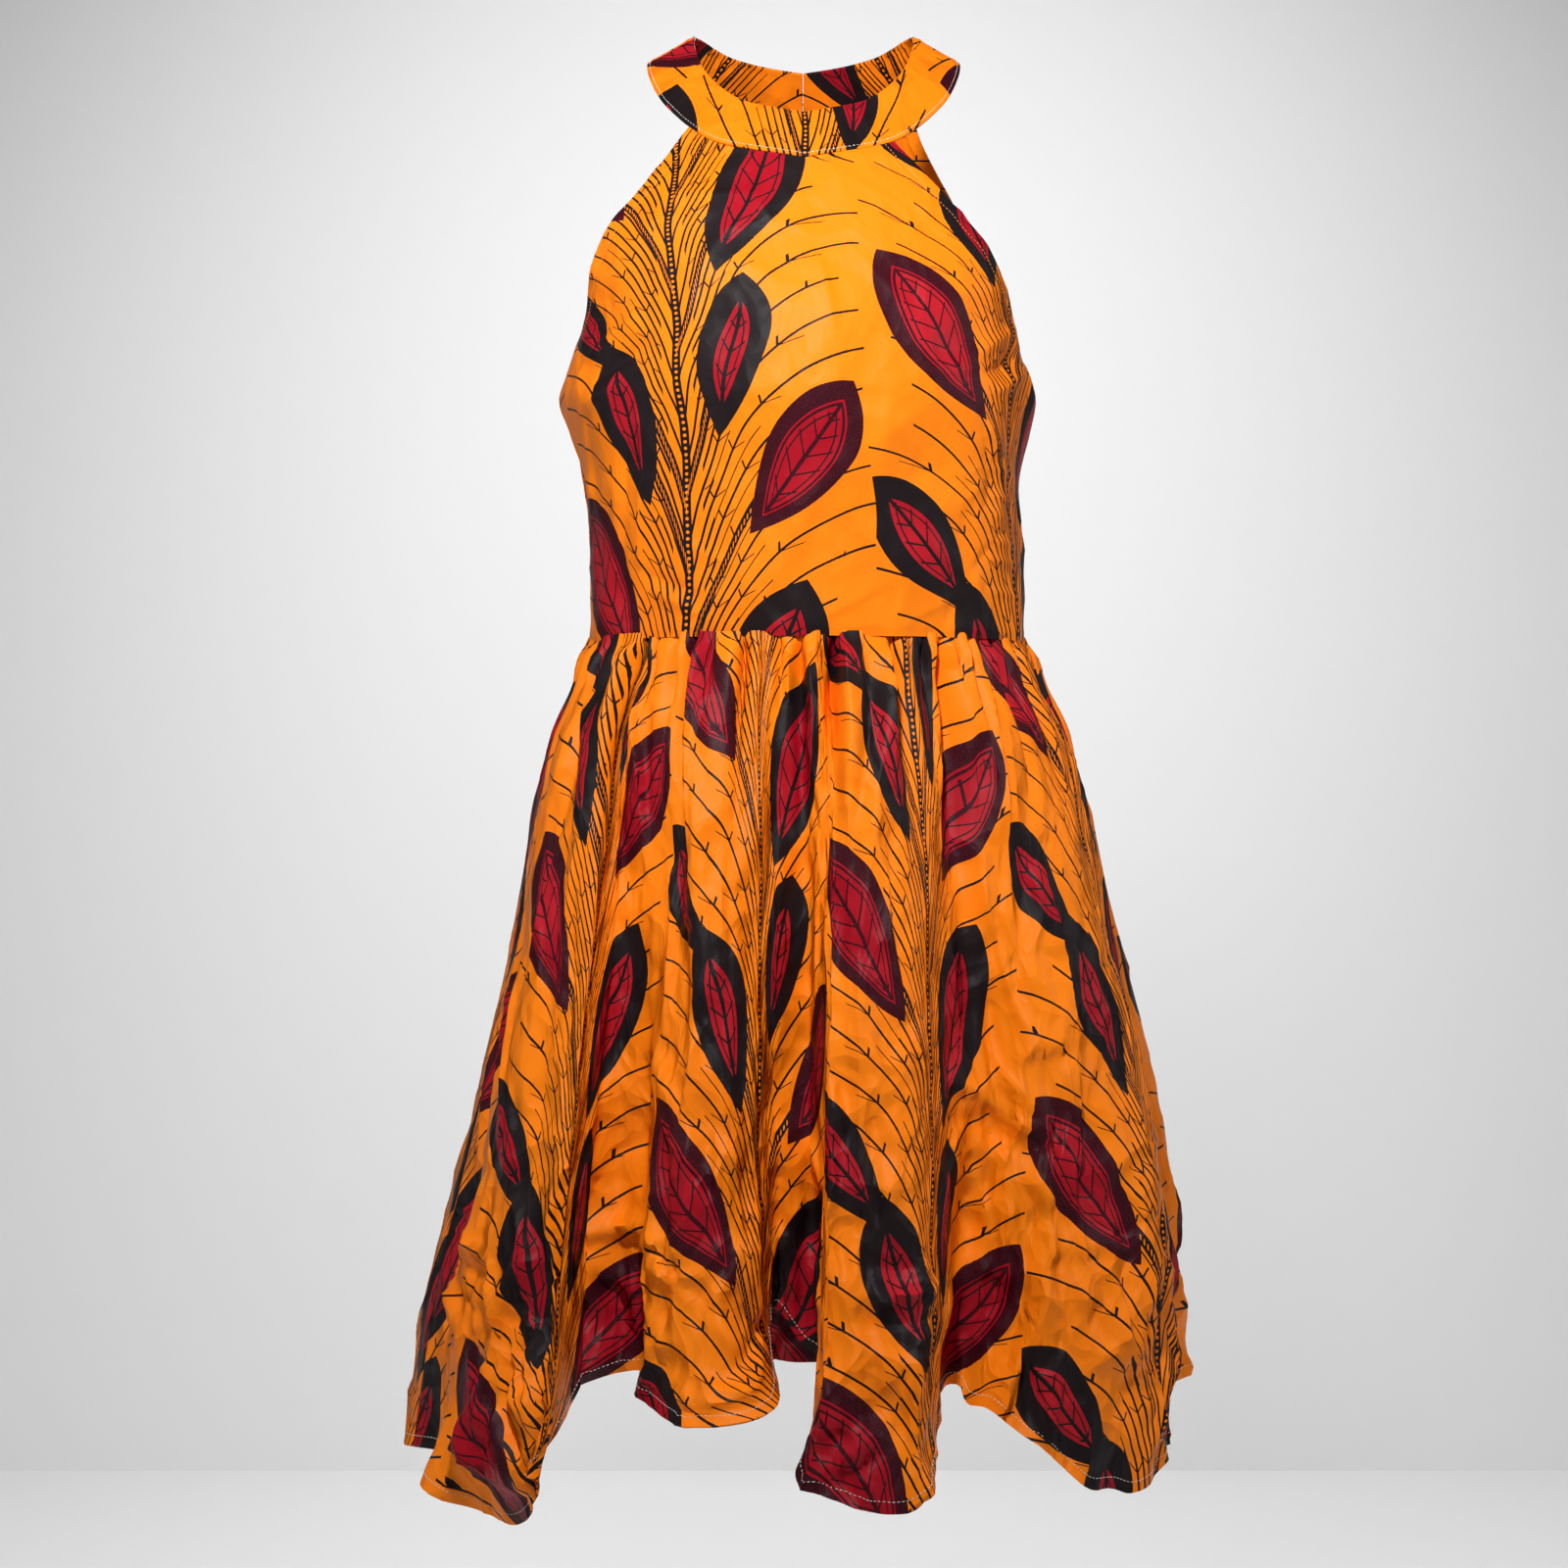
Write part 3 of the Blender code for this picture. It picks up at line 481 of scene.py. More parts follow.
def lay_sheet(name, points, cut, thickness, thick=None):
    """A grid of points made into a cloth sheet with its cut as UVs, and thickened inwards."""
    rows, columns = points.shape[:2]
    nothing_selected()
    bpy.ops.mesh.primitive_grid_add(x_subdivisions=columns - 1, y_subdivisions=rows - 1, size=1)
    sheet = bpy.context.object
    sheet.name = sheet.data.name = name
    mesh = sheet.data
    mesh.vertices.foreach_set("co", points.reshape(-1))
    corners = np.empty(len(mesh.loops), int)
    mesh.loops.foreach_get("vertex_index", corners)
    layer = mesh.uv_layers[0] if mesh.uv_layers else mesh.uv_layers.new()
    layer.name = "cut"
    layer.data.foreach_set("uv", cut.reshape(-1, 2)[corners].reshape(-1))
    mesh.update()
    normals = grid_normals(points, points.reshape(-1, 3).mean(0))
    first = mesh.polygons[len(mesh.polygons) // 2]
    place = np.unravel_index(first.vertices[0], (rows, columns))
    if Vector(normals[place]).dot(first.normal) < 0:
        mesh.flip_normals()
    if thick is not None:
        group = sheet.vertex_groups.new(name="hem")
        levels = np.round(thick.reshape(-1), 2)
        for level in np.unique(levels):
            group.add(np.flatnonzero(levels == level).tolist(), float(level), "REPLACE")
    wall = sheet.modifiers.new("Cloth", "SOLIDIFY")
    wall.thickness = thickness
    wall.offset = -1
    wall.use_even_offset = False
    if thick is not None:
        wall.vertex_group = "hem"
        wall.thickness_vertex_group = 0.0
    bpy.ops.object.modifier_apply(modifier=wall.name)
    smooth_faces(sheet)
    bpy.ops.object.shade_smooth_by_angle(angle=math.radians(SMOOTH_ANGLE))
    return sheet


def arc(points, axis):
    """Running length along one axis of a grid of points."""
    steps = np.linalg.norm(np.diff(points, axis=axis), axis=-1)
    start = np.zeros_like(np.take(steps, [0], axis=axis))
    return np.concatenate([start, np.cumsum(steps, axis=axis)], axis=axis)


def strokes(points, normals, table):
    """The height of creases that are placed in the front view, on cloth that faces the front."""
    height = np.zeros(points.shape[:2])
    for stroke in table:
        run_x, run_z = stroke.to_x - stroke.x, stroke.to_z - stroke.z
        length = math.hypot(run_x, run_z)
        from_x, from_z = points[..., 0] - stroke.x, points[..., 2] - stroke.z
        along = (from_x * run_x + from_z * run_z) / length ** 2
        off = (from_x * run_z - from_z * run_x) / length
        ends = np.clip(1 - (2 * along - 1) ** 2, 0, 1)
        shape = np.exp(-(np.abs(off / (stroke.width * MM)) ** CREST))
        if stroke.lap:
            reach = np.where(off * stroke.lap > 0, stroke.width * MM, FOLD_EDGE)
            shape = FOLD_LIFT * np.exp(-np.abs(off) / reach)
        height += stroke.height * MM * ends ** STROKE_ENDS * shape
    return height * eased((-normals[..., 1] - 0.1) / 0.4)


def crumpled(cut, crumple):
    """Seeded crumples on a sheet's cut: sharp ridges between shallow dents, from -1 to 0."""
    cells = (CRUMPLE_CELLS, CRUMPLE_CELLS)
    heights = np.random.default_rng(crumple.seed).uniform(-1, 1, cells)
    u, v = cut[..., 0] / crumple.across + 50, cut[..., 1] / crumple.up + 50
    u, v = u + 0.45 * np.sin(v * 1.7 + crumple.seed), v + 0.45 * np.sin(u * 1.3)
    i, j = np.floor(u).astype(int), np.floor(v).astype(int)
    u, v = (u - i + eased(u - i)) / 2, (v - j + eased(v - j)) / 2
    low = heights[i, j] * (1 - u) + heights[i + 1, j] * u
    high = heights[i, j + 1] * (1 - u) + heights[i + 1, j + 1] * u
    return -np.abs(low * (1 - v) + high * v)


def small_creases(cut, count, seed, lively):
    """Seeded creases on a sheet's cut, each steep on one side, more of them where it is lively."""
    random = np.random.default_rng(seed)
    low, high = cut.reshape(-1, 2).min(0), cut.reshape(-1, 2).max(0)
    height = np.zeros(cut.shape[:2])
    for _ in range(count):
        middle = low + (high - low) * random.uniform(0, 1, 2)
        turn = random.normal(0.0, CREASE_TURN)
        run = np.array([math.sin(turn), math.cos(turn)])
        length, width = random.uniform(*CREASE_LENGTHS), random.uniform(*CREASE_WIDTHS) * MM
        lift = random.uniform(-CREASE_HEIGHT, CREASE_HEIGHT) * MM
        away = cut - middle
        along = away @ run
        off = away @ np.array([run[1], -run[0]]) + CREASE_WANDER * np.sin(along * 40 + turn * 9)
        steep = np.where(off > 0, width * 0.7, width * 2.4)
        height += lift * np.exp(-((along / length) ** 2) * 2.5 - np.abs(off) / steep)
    return height * lively


def back_tucks():
    """The tucks of the back, scattered by seeded draws."""
    random = np.random.default_rng(BACK_TUCK_SEED)
    angles = np.linspace(*BACK_TUCK_ENDS, BACK_TUCK_COUNT)
    angles[1:-1] += random.uniform(-BACK_TUCK_SHIFT, BACK_TUCK_SHIFT, BACK_TUCK_COUNT - 2)
    tucks = []
    for angle in angles:
        drawn = [random.uniform(low, high) for low, high in BACK_TUCK_RANGES]
        tucks.append(Tuck(angle, *drawn))
    return tuple(tucks)


def tuck_relief(tucks, angle, place, fall):
    """How far the gathered cloth stands out: grooves at the tucks and full cloth between them."""
    relief = np.zeros_like(angle)
    wide = 0.8 + 6.5 * fall
    for tuck in tucks:
        off = (place - tuck.angle) / wide
        fade = 1 - eased(fall / tuck.reach)
        groove = np.exp(-np.sqrt(off ** 2 + 0.05))
        lap = off * np.exp(1 - np.abs(off)) * 0.55 * tuck.lap
        relief += tuck.depth * TUCK_DEPTH * fade * (lap - groove)
    relief -= relief.mean(axis=1, keepdims=True)
    fine = np.sin(np.radians(place * 158)) * np.sin(np.radians(place * 43 + 20)) * FINE_GATHERS
    start = 0.2 + 0.8 * eased(fall / 0.025)
    return relief * start + fine * eased(fall / 0.012) * (1 - eased(fall / 0.09))


def curl_hem(points, normals, angle, fall_length):
    """Turns stretches of the hem out or in."""
    for curl in CURLS:
        share = np.clip(1 - fall_length / curl.height, 0, 1) ** curl.bend
        share = share * bell(angle - curl.angle, curl.spread)
        points = points + normals * (curl.out * share)[..., None]
        points += np.array([curl.aside, 0, curl.up]) * share[..., None]
    return points


def bunched(angle, fall, start, tucks):
    """Where columns lie round the waist, drawn together towards the tucks."""
    places = column(tucks, "angle")
    places = places[(places > start + 1) & (places < start + 179)]
    places = np.concatenate([[start], places, [start + 180]])
    i = np.clip(np.searchsorted(places, angle) - 1, 0, len(places) - 2)
    gap = places[i + 1] - places[i]
    share = (angle - places[i]) / gap
    bunch = BUNCHING * (1 - eased(fall / BUNCHING_REACH))
    return angle - bunch / (2 * np.pi) * np.sin(2 * np.pi * share) * gap


def wear(angle, fall, seam):
    """How creased the skirt is: most low down and by the raised corner, least at its side seams."""
    worn = 0.35 + 0.65 * eased((fall - 0.45) / 0.5)
    worn = worn + 1.1 * bell(angle + 62, 14) * eased((fall - 0.6) / 0.3)
    return worn * (0.3 + 0.7 * eased(seam / 0.07))


def make_skirt_width(name, start, tucks, stroke_table, print_at):
    """One gathered width of the skirt, from side seam to side seam."""
    fine = np.linspace(start, start + 180, HEM_SAMPLES)
    along_hem = arc(skirt_face(fine[None], np.full((1, HEM_SAMPLES), WIDEST_FALL)), 1)[0]
    width = along_hem[-1]
    across = np.linspace(0, width, SKIRT_COLUMNS)
    angle = np.interp(across, along_hem, fine)
    angle, fall = np.meshgrid(angle, np.linspace(0, 1, SKIRT_ROWS) ** SKIRT_ROW_SPREAD)
    place = bunched(angle, fall, start, tucks)
    points = skirt_face(angle, fall, place)
    cut = np.stack([np.broadcast_to(across, angle.shape), -fall * arc(points, 0)[-1][None]], axis=-1)
    normals = grid_normals(points, IN_SKIRT)

    seam = np.minimum(across, width - across)
    worn = wear(angle, fall, seam)
    patchy = 0.35 - 0.9 * crumpled(cut, SKIRT_PATCHES)
    detail = strokes(points, normals, stroke_table)
    detail += crumpled(cut, SKIRT_CRUMPLE) * SKIRT_CRUMPLE.height * MM * worn
    for crumple in SKIRT_FINE_CRUMPLES:
        detail += crumpled(cut, crumple) * crumple.height * MM * worn * patchy
    detail += small_creases(cut, SKIRT_CREASE_COUNT, int(start) + 100, worn)
    detail = tuck_relief(tucks, angle, place, fall) + CREASE_LIMIT * np.tanh(detail / CREASE_LIMIT)
    ripple = np.sin(cut[..., 0] * (2 * math.pi / HEM_RIPPLE_PITCH) + 2 * np.sin(cut[..., 0] * 31))
    detail += ripple * HEM_RIPPLE * eased((fall - 0.93) / 0.07)
    detail = detail * (1 - bell(seam, SEAM_HOLD)) - SEAM_DIP * bell(seam, SEAM_WIDTH)
    outwards = unit(points * np.array([1, 1, 0]))
    points = points + unit(normals + OUTWARD_PULL * outwards) * detail[..., None]
    edge = arc(points, 0)
    points = curl_hem(points, normals, angle, edge[-1][None] - edge)
    edge = arc(points, 0)
    distance = edge[-1][None] - edge
    points[0, :, :2] *= 1 - WAIST_INSET
    points[0, :, 2] += WAIST_OVERLAP
    sheet = lay_sheet(name, points, cut + np.array(print_at), HEM_THICKNESS, hem_share(distance))
    return sheet, points, cut


def under_collar(points, angle, rises):
    """The top of a bodice panel, carried on a little way behind the collar."""
    behind = eased((rises - 0.985) / 0.015)[..., None]
    seat = collar_face(angle, np.full_like(angle, COLLAR_SEAT))
    inwards = unit(seat - IN_COLLAR) * np.array([1, 1, 0.5])
    return points + (seat - inwards * COLLAR_SEAT_DEPTH - points) * behind


def make_bodice_panel(name, face, corners, start, end, stroke_table, print_at, slit_at=None):
    """One bodice panel, from the waist seam to behind the collar."""
    columns = int(BODICE_COLUMNS * (end - start) / 2)
    across, rise = np.meshgrid(np.linspace(start, end, columns), np.linspace(0, 1, BODICE_ROWS))
    points = face(across, rise)
    row_arc = arc(points, 1)
    if start < 0 < end:
        row_arc -= np.stack([np.interp(0, across[0], row) for row in row_arc])[:, None]
    elif end == 0:
        row_arc -= row_arc[:, -1:]
    cut = np.stack([row_arc, arc(points, 0)], axis=-1)
    normals = grid_normals(points, IN_BODICE)
    from_left = arc(points, 1)
    from_right = from_left[:, -1:] - from_left
    far = np.full_like(from_left, 1.0)
    above = rise > ARMHOLE_FOOT
    left_edge = from_left if start == -1 else far
    right_edge = from_right if end == 1 else far
    armhole = np.where(above, np.minimum(left_edge, right_edge), far)
    seam = np.where(above, far, np.minimum(left_edge, right_edge))
    detail = strokes(points, normals, stroke_table)
    for crumple in BODICE_CRUMPLES:
        detail += crumpled(cut, crumple) * crumple.height * MM
    detail += small_creases(cut, BODICE_CREASE_COUNT, BODICE_CREASE_SEED, 0.30)
    detail += EDGE_RELIEF * bell(cut[..., 1] - 5 * MM, 4 * MM)
    detail -= EDGE_RELIEF * bell(armhole - 9 * MM, 1.2 * MM)
    detail -= EDGE_RELIEF * bell(seam, SEAM_WIDTH)
    if slit_at is not None:
        centre = from_left if slit_at == "left" else from_right
        share = np.clip((rise - SLIT_FOOT) / (1 - SLIT_FOOT), 0, 1)
        half_gap = COLLAR_OPENING / 2 * share + SLIT_HALF_GAP * np.sin(np.pi * share)
        side = 1 if slit_at == "left" else -1
        points[..., 0] -= side * half_gap * np.exp(-centre / 0.02)
        detail -= EDGE_RELIEF * bell(centre, SEAM_WIDTH) * (share == 0)
    points = points + normals * detail[..., None]
    angle = corners[0] + (corners[1] - corners[0]) * (across + 1) / 2
    points = under_collar(points, angle, rise)
    points[0, :, 2] -= WAIST_DROP
    thick = np.maximum(hem_share(armhole), hem_share(cut[..., 1]) * 0.8)
    panel = lay_sheet(name, points, cut + np.array(print_at), HEM_THICKNESS, thick)
    return panel, points, normals, armhole


def make_collar(name, start, end):
    """One collar piece, with rounded edges."""
    columns = int(COLLAR_COLUMNS * (end - start) / 180)
    angle, across = np.meshgrid(np.linspace(start, end, columns), np.linspace(0, 1, COLLAR_ROWS))
    points = collar_face(angle, across)
    lengths, widths = arc(points, 1), arc(points, 0)
    cut = np.stack([lengths[-1][None] - lengths[-1].max() / 2 + 0 * widths, -widths], axis=-1)
    normals = grid_normals(points, IN_COLLAR)
    edge = np.minimum(widths, widths[-1][None] - widths)
    roll = EDGE_RELIEF * bell(edge - 5 * MM, 2.5 * MM) - 0.4 * MM * bell(edge - TOPSTITCH, 0.8 * MM)
    points = points + normals * roll[..., None]
    collar = lay_sheet(name, points, cut, COLLAR_THICKNESS)
    rounding = collar.modifiers.new("Rounded", "BEVEL")
    rounding.width = COLLAR_ROUNDING
    rounding.segments = 3
    rounding.limit_method = "ANGLE"
    rounding.angle_limit = math.radians(50)
    bpy.ops.object.modifier_apply(modifier=rounding.name)
    return collar, points, normals, edge


def line_on(points, normals, distance, target, axis=0):
    """Where a distance over a sheet reaches the target, column by column, with the normals there."""
    if axis == 1:
        points, normals, distance = (np.swapaxes(a, 0, 1) for a in (points, normals, distance))
    places, faces = [], []
    for j in range(points.shape[1]):
        below = distance[:, j] - target
        crossing = np.flatnonzero(below[:-1] * below[1:] <= 0)
        if len(crossing):
            i = crossing[-1]
            share = below[i] / (below[i] - below[i + 1])
            places.append(points[i, j] + (points[i + 1, j] - points[i, j]) * share)
            faces.append(normals[i, j])
    return np.array(places), np.array(faces)


def small_ball(name):
    """A ball of few faces, to be shaped into a stitch or a cord."""
    nothing_selected()
    bpy.ops.mesh.primitive_uv_sphere_add(segments=6, ring_count=4, radius=1)
    ball = bpy.context.object
    ball.name = ball.data.name = name
    return ball


def reshape(piece, points, faces):
    piece.data.clear_geometry()
    piece.data.from_pydata(points.reshape(-1, 3).tolist(), [], faces)
    smooth_faces(piece)


def places_along(path, run, at):
    """What a path holds at lengths along it."""
    return np.stack([np.interp(at, run, path[:, k]) for k in range(3)], axis=-1)


def stitch(name, path, faces, pitch=2.9 * MM, length=2.1 * MM, radius=0.24 * MM):
    """A row of thread stitches along a path on the cloth, made from one shaped stitch."""
    row = small_ball(name)
    shape = np.array([v.co for v in row.data.vertices])[:, [2, 0, 1]]
    # The operator lists the same faces in another order on each run
    polygons = sorted(list(p.vertices) for p in row.data.polygons)
    shape = shape * (length / 2, radius, radius)
    shape[:, 2] += radius * 0.7 * (1 - (shape[:, 0] / (length / 2)) ** 2)
    run = arc(path[None], 1)[0]
    centres = np.arange(pitch / 2, run[-1], pitch)
    places = places_along(path, run, centres)
    up = unit(places_along(faces, run, centres))
    along = places_along(path, run, centres + pitch / 3) - places_along(path, run, centres - pitch / 3)
    along = unit(along - up * (along * up).sum(-1, keepdims=True))
    side = np.cross(up, along)
    frames = np.stack([along, side, up], axis=1)
    points = np.einsum("vk,nkd->nvd", shape, frames) + places[:, None]
    faces = [[k + n * len(shape) for k in face] for n in range(len(centres)) for face in polygons]
    reshape(row, points, faces)
    return row


def on_collar(angle, across, height):
    """A place at a height above the collar's outer face."""
    angles = np.array([[angle - 0.5, angle - 0.5], [angle + 0.5, angle + 0.5]])
    patch = collar_face(angles, np.array([[across - 0.01, across + 0.01]] * 2))
    middle = patch.mean((0, 1))
    away = unit(np.cross(patch[1, 0] - patch[0, 0], patch[0, 1] - patch[0, 0]))
    away = away * np.sign(away @ (middle - IN_COLLAR))
    return middle + away * height


def make_nape_loop(name):
    """The loop round the button's shank: a cord of two twisted strands."""
    flat = np.zeros((1, 1))
    sides = [on_collar(BUTTON_ANGLE + step, 0.5, 0.0) for step in (-0.5, 0.5)]
    degree = np.linalg.norm(sides[1] - sides[0])
    inner, outer = (collar_face(flat + BUTTON_ANGLE, flat + across) for across in (0, 1))
    depth = np.linalg.norm(outer - inner)
    turns = np.radians(np.linspace(-90, 90, 19))
    bend = [
        (BUTTON_ANGLE - LOOP_REACH * math.cos(turn) / degree, 0.5 + LOOP_REACH * math.sin(turn) / depth)
        for turn in turns
    ]
    legs = np.linspace(BUTTON_ANGLE, LOOP_END_ANGLE, 10)[1:]
    route = [(a, bend[0][1]) for a in legs[::-1]] + bend + [(a, bend[-1][1]) for a in legs]
    corners = np.array([on_collar(angle, across, LOOP_RADIUS + LOOP_LIFT) for angle, across in route])
    run = arc(corners[None], 1)[0]
    places = np.linspace(0, run[-1], LOOP_PLACES)
    path = places_along(corners, run, places)
    along = unit(np.gradient(path, axis=0))
    up = unit(path - IN_COLLAR)
    side = unit(np.cross(along, up))
    up = np.cross(side, along)
    strand_turns = 2 * math.pi * places / LOOP_TWIST
    ring = np.linspace(0, 2 * math.pi, LOOP_SIDES, endpoint=False)
    reach = LOOP_RADIUS * (0.72 + 0.28 * np.abs(np.cos(ring[None] - strand_turns[:, None])))
    reach[[0, -1]] *= 0.3
    across, upwards = np.cos(ring)[None, :, None], np.sin(ring)[None, :, None]
    rim = path[:, None] + reach[..., None] * (across * side[:, None] + upwards * up[:, None])
    count = len(ring)
    last = (len(path) - 1) * count
    faces = []
    for first in range(0, last, count):
        for j in range(count):
            k = (j + 1) % count
            faces.append([first + j, first + k, first + count + k, first + count + j])
    faces += [list(range(count))[::-1], [last + j for j in range(count)]]
    loop = small_ball(name)
    reshape(loop, rim, faces)
    outside = Vector(rim[5, 0] - path[5]).dot(loop.data.polygons[5 * count].normal)
    if outside < 0:
        loop.data.flip_normals()
    return loop


def operator(operation, swapped=False):
    """A Python operator that adds one Math node."""
    return lambda socket, *others: socket.math(operation, *others, swapped=swapped)


class Socket:
    """A shader socket that takes part in Python arithmetic, each step one Math node."""

    def __init__(self, shader, link):
        self.shader = shader
        self.link = link

    def math(self, operation, *others, swapped=False):
        values = (*others[:1], self, *others[1:]) if swapped else (self, *others)
        return self.shader.node("Math", {"operation": operation}, *values)

    __add__ = __radd__ = operator("ADD")
    __sub__, __rsub__ = operator("SUBTRACT"), operator("SUBTRACT", swapped=True)
    __mul__ = __rmul__ = operator("MULTIPLY")
    __truediv__, __rtruediv__ = operator("DIVIDE"), operator("DIVIDE", swapped=True)
    __abs__ = operator("ABSOLUTE")
    __lt__ = operator("LESS_THAN")
    __gt__ = operator("GREATER_THAN")

    def near(self, spacing):
        """Signed distance to the nearest multiple of spacing."""
        return self - (self / spacing).math("ROUND") * spacing

    def between(self, low, high):
        """0 below low and 1 above high, with a soft step."""
        settings = {"interpolation_type": "SMOOTHSTEP"}
        return self.shader.node("MapRange", settings, self, low, high, 0.0, 1.0)


class Shader:
    """A material built from nodes by one method."""

    def __init__(self, name):
        self.material = bpy.data.materials.new(name)
        self.material.use_nodes = True
        self.tree = self.material.node_tree
        self.surface = self.tree.nodes["Principled BSDF"]

    def node(self, kind, settings=None, *values, output=0, **named):
        made = self.tree.nodes.new("ShaderNode" + kind)
        for key, value in (settings or {}).items():
            setattr(made, key, value)
        for place, value in list(enumerate(values)) + list(named.items()):
            self.feed(made.inputs[place], value)
        return Socket(self, made.outputs[output])

    def feed(self, socket, value):
        if isinstance(value, Socket):
            self.tree.links.new(value.link, socket)
        else:
            socket.default_value = value

    def mix(self, share, first, second):
        """A colour mix: first where share is 0 and second where it is 1."""
        made = self.tree.nodes.new("ShaderNodeMix")
        made.data_type = "RGBA"
        self.feed(made.inputs[0], share)
        self.feed(made.inputs[6], first)
        self.feed(made.inputs[7], second)
        return Socket(self, made.outputs[2])

    def noise(self, place, scale, detail, output=0):
        """Noise on the flat cut: one value, or a colour from output 1."""
        settings = {"noise_dimensions": "2D"}
        return self.node("TexNoise", settings, Vector=place, Scale=scale, Detail=detail, output=output)

    def split(self, vector):
        return [self.node("SeparateXYZ", None, vector, output=k) for k in range(3)]

    def join(self, x, y, z=0.0):
        return self.node("CombineXYZ", None, x, y, z)

    def set(self, **values):
        for name, value in values.items():
            self.feed(self.surface.inputs[name.replace("_", " ")], value)


# Print colours, as light values
ORANGE = (0.93, 0.215, 0.004, 1)
DEEP_ORANGE = (0.84, 0.165, 0.003, 1)
INK = (0.012, 0.007, 0.008, 1)
MAROON = (0.058, 0.004, 0.009, 1)
DARK_MAROON = (0.020, 0.003, 0.006, 1)
RED = (0.34, 0.004, 0.013, 1)
BRIGHT_RED = (0.42, 0.009, 0.018, 1)

# The print, in metres: upright stalks with stems that curve up and outwards, and a veined leaf on
# each stem
STALK_SPACING = 0.262
REPEAT = 0.352
STEM_RISE = 0.170
STEM_BEND = 0.042
LINE_STEP = REPEAT / 13
LEAF_FRAME = 12.5 * MM
HAND_DRAWN = 0.012
FINE_LINE = 0.0008
STALK_WIDTH = 0.0030
STALK_DOTS = 0.0044
STEM_WIDTH = 0.0024
STEM_DOTS = 0.0042
VEIN_STEP = 0.0165
THREAD_PITCH = 0.00045

Leaf = namedtuple("Leaf", "across up tilt length width black")
LEAVES = (
    Leaf(0.058, 0.020, 68, 0.150, 0.058, 1),
    Leaf(0.084, 0.170, 52, 0.132, 0.056, 0),
    Leaf(0.036, 0.240, 78, 0.120, 0.044, 1),
    Leaf(-0.078, 0.085, 124, 0.150, 0.060, 0),
    Leaf(-0.042, 0.200, 105, 0.126, 0.046, 1),
    Leaf(-0.094, 0.285, 132, 0.120, 0.050, 1),
)


def stem_height(across):
    return STEM_RISE * (1 - math.exp(-abs(across) / STEM_BEND))


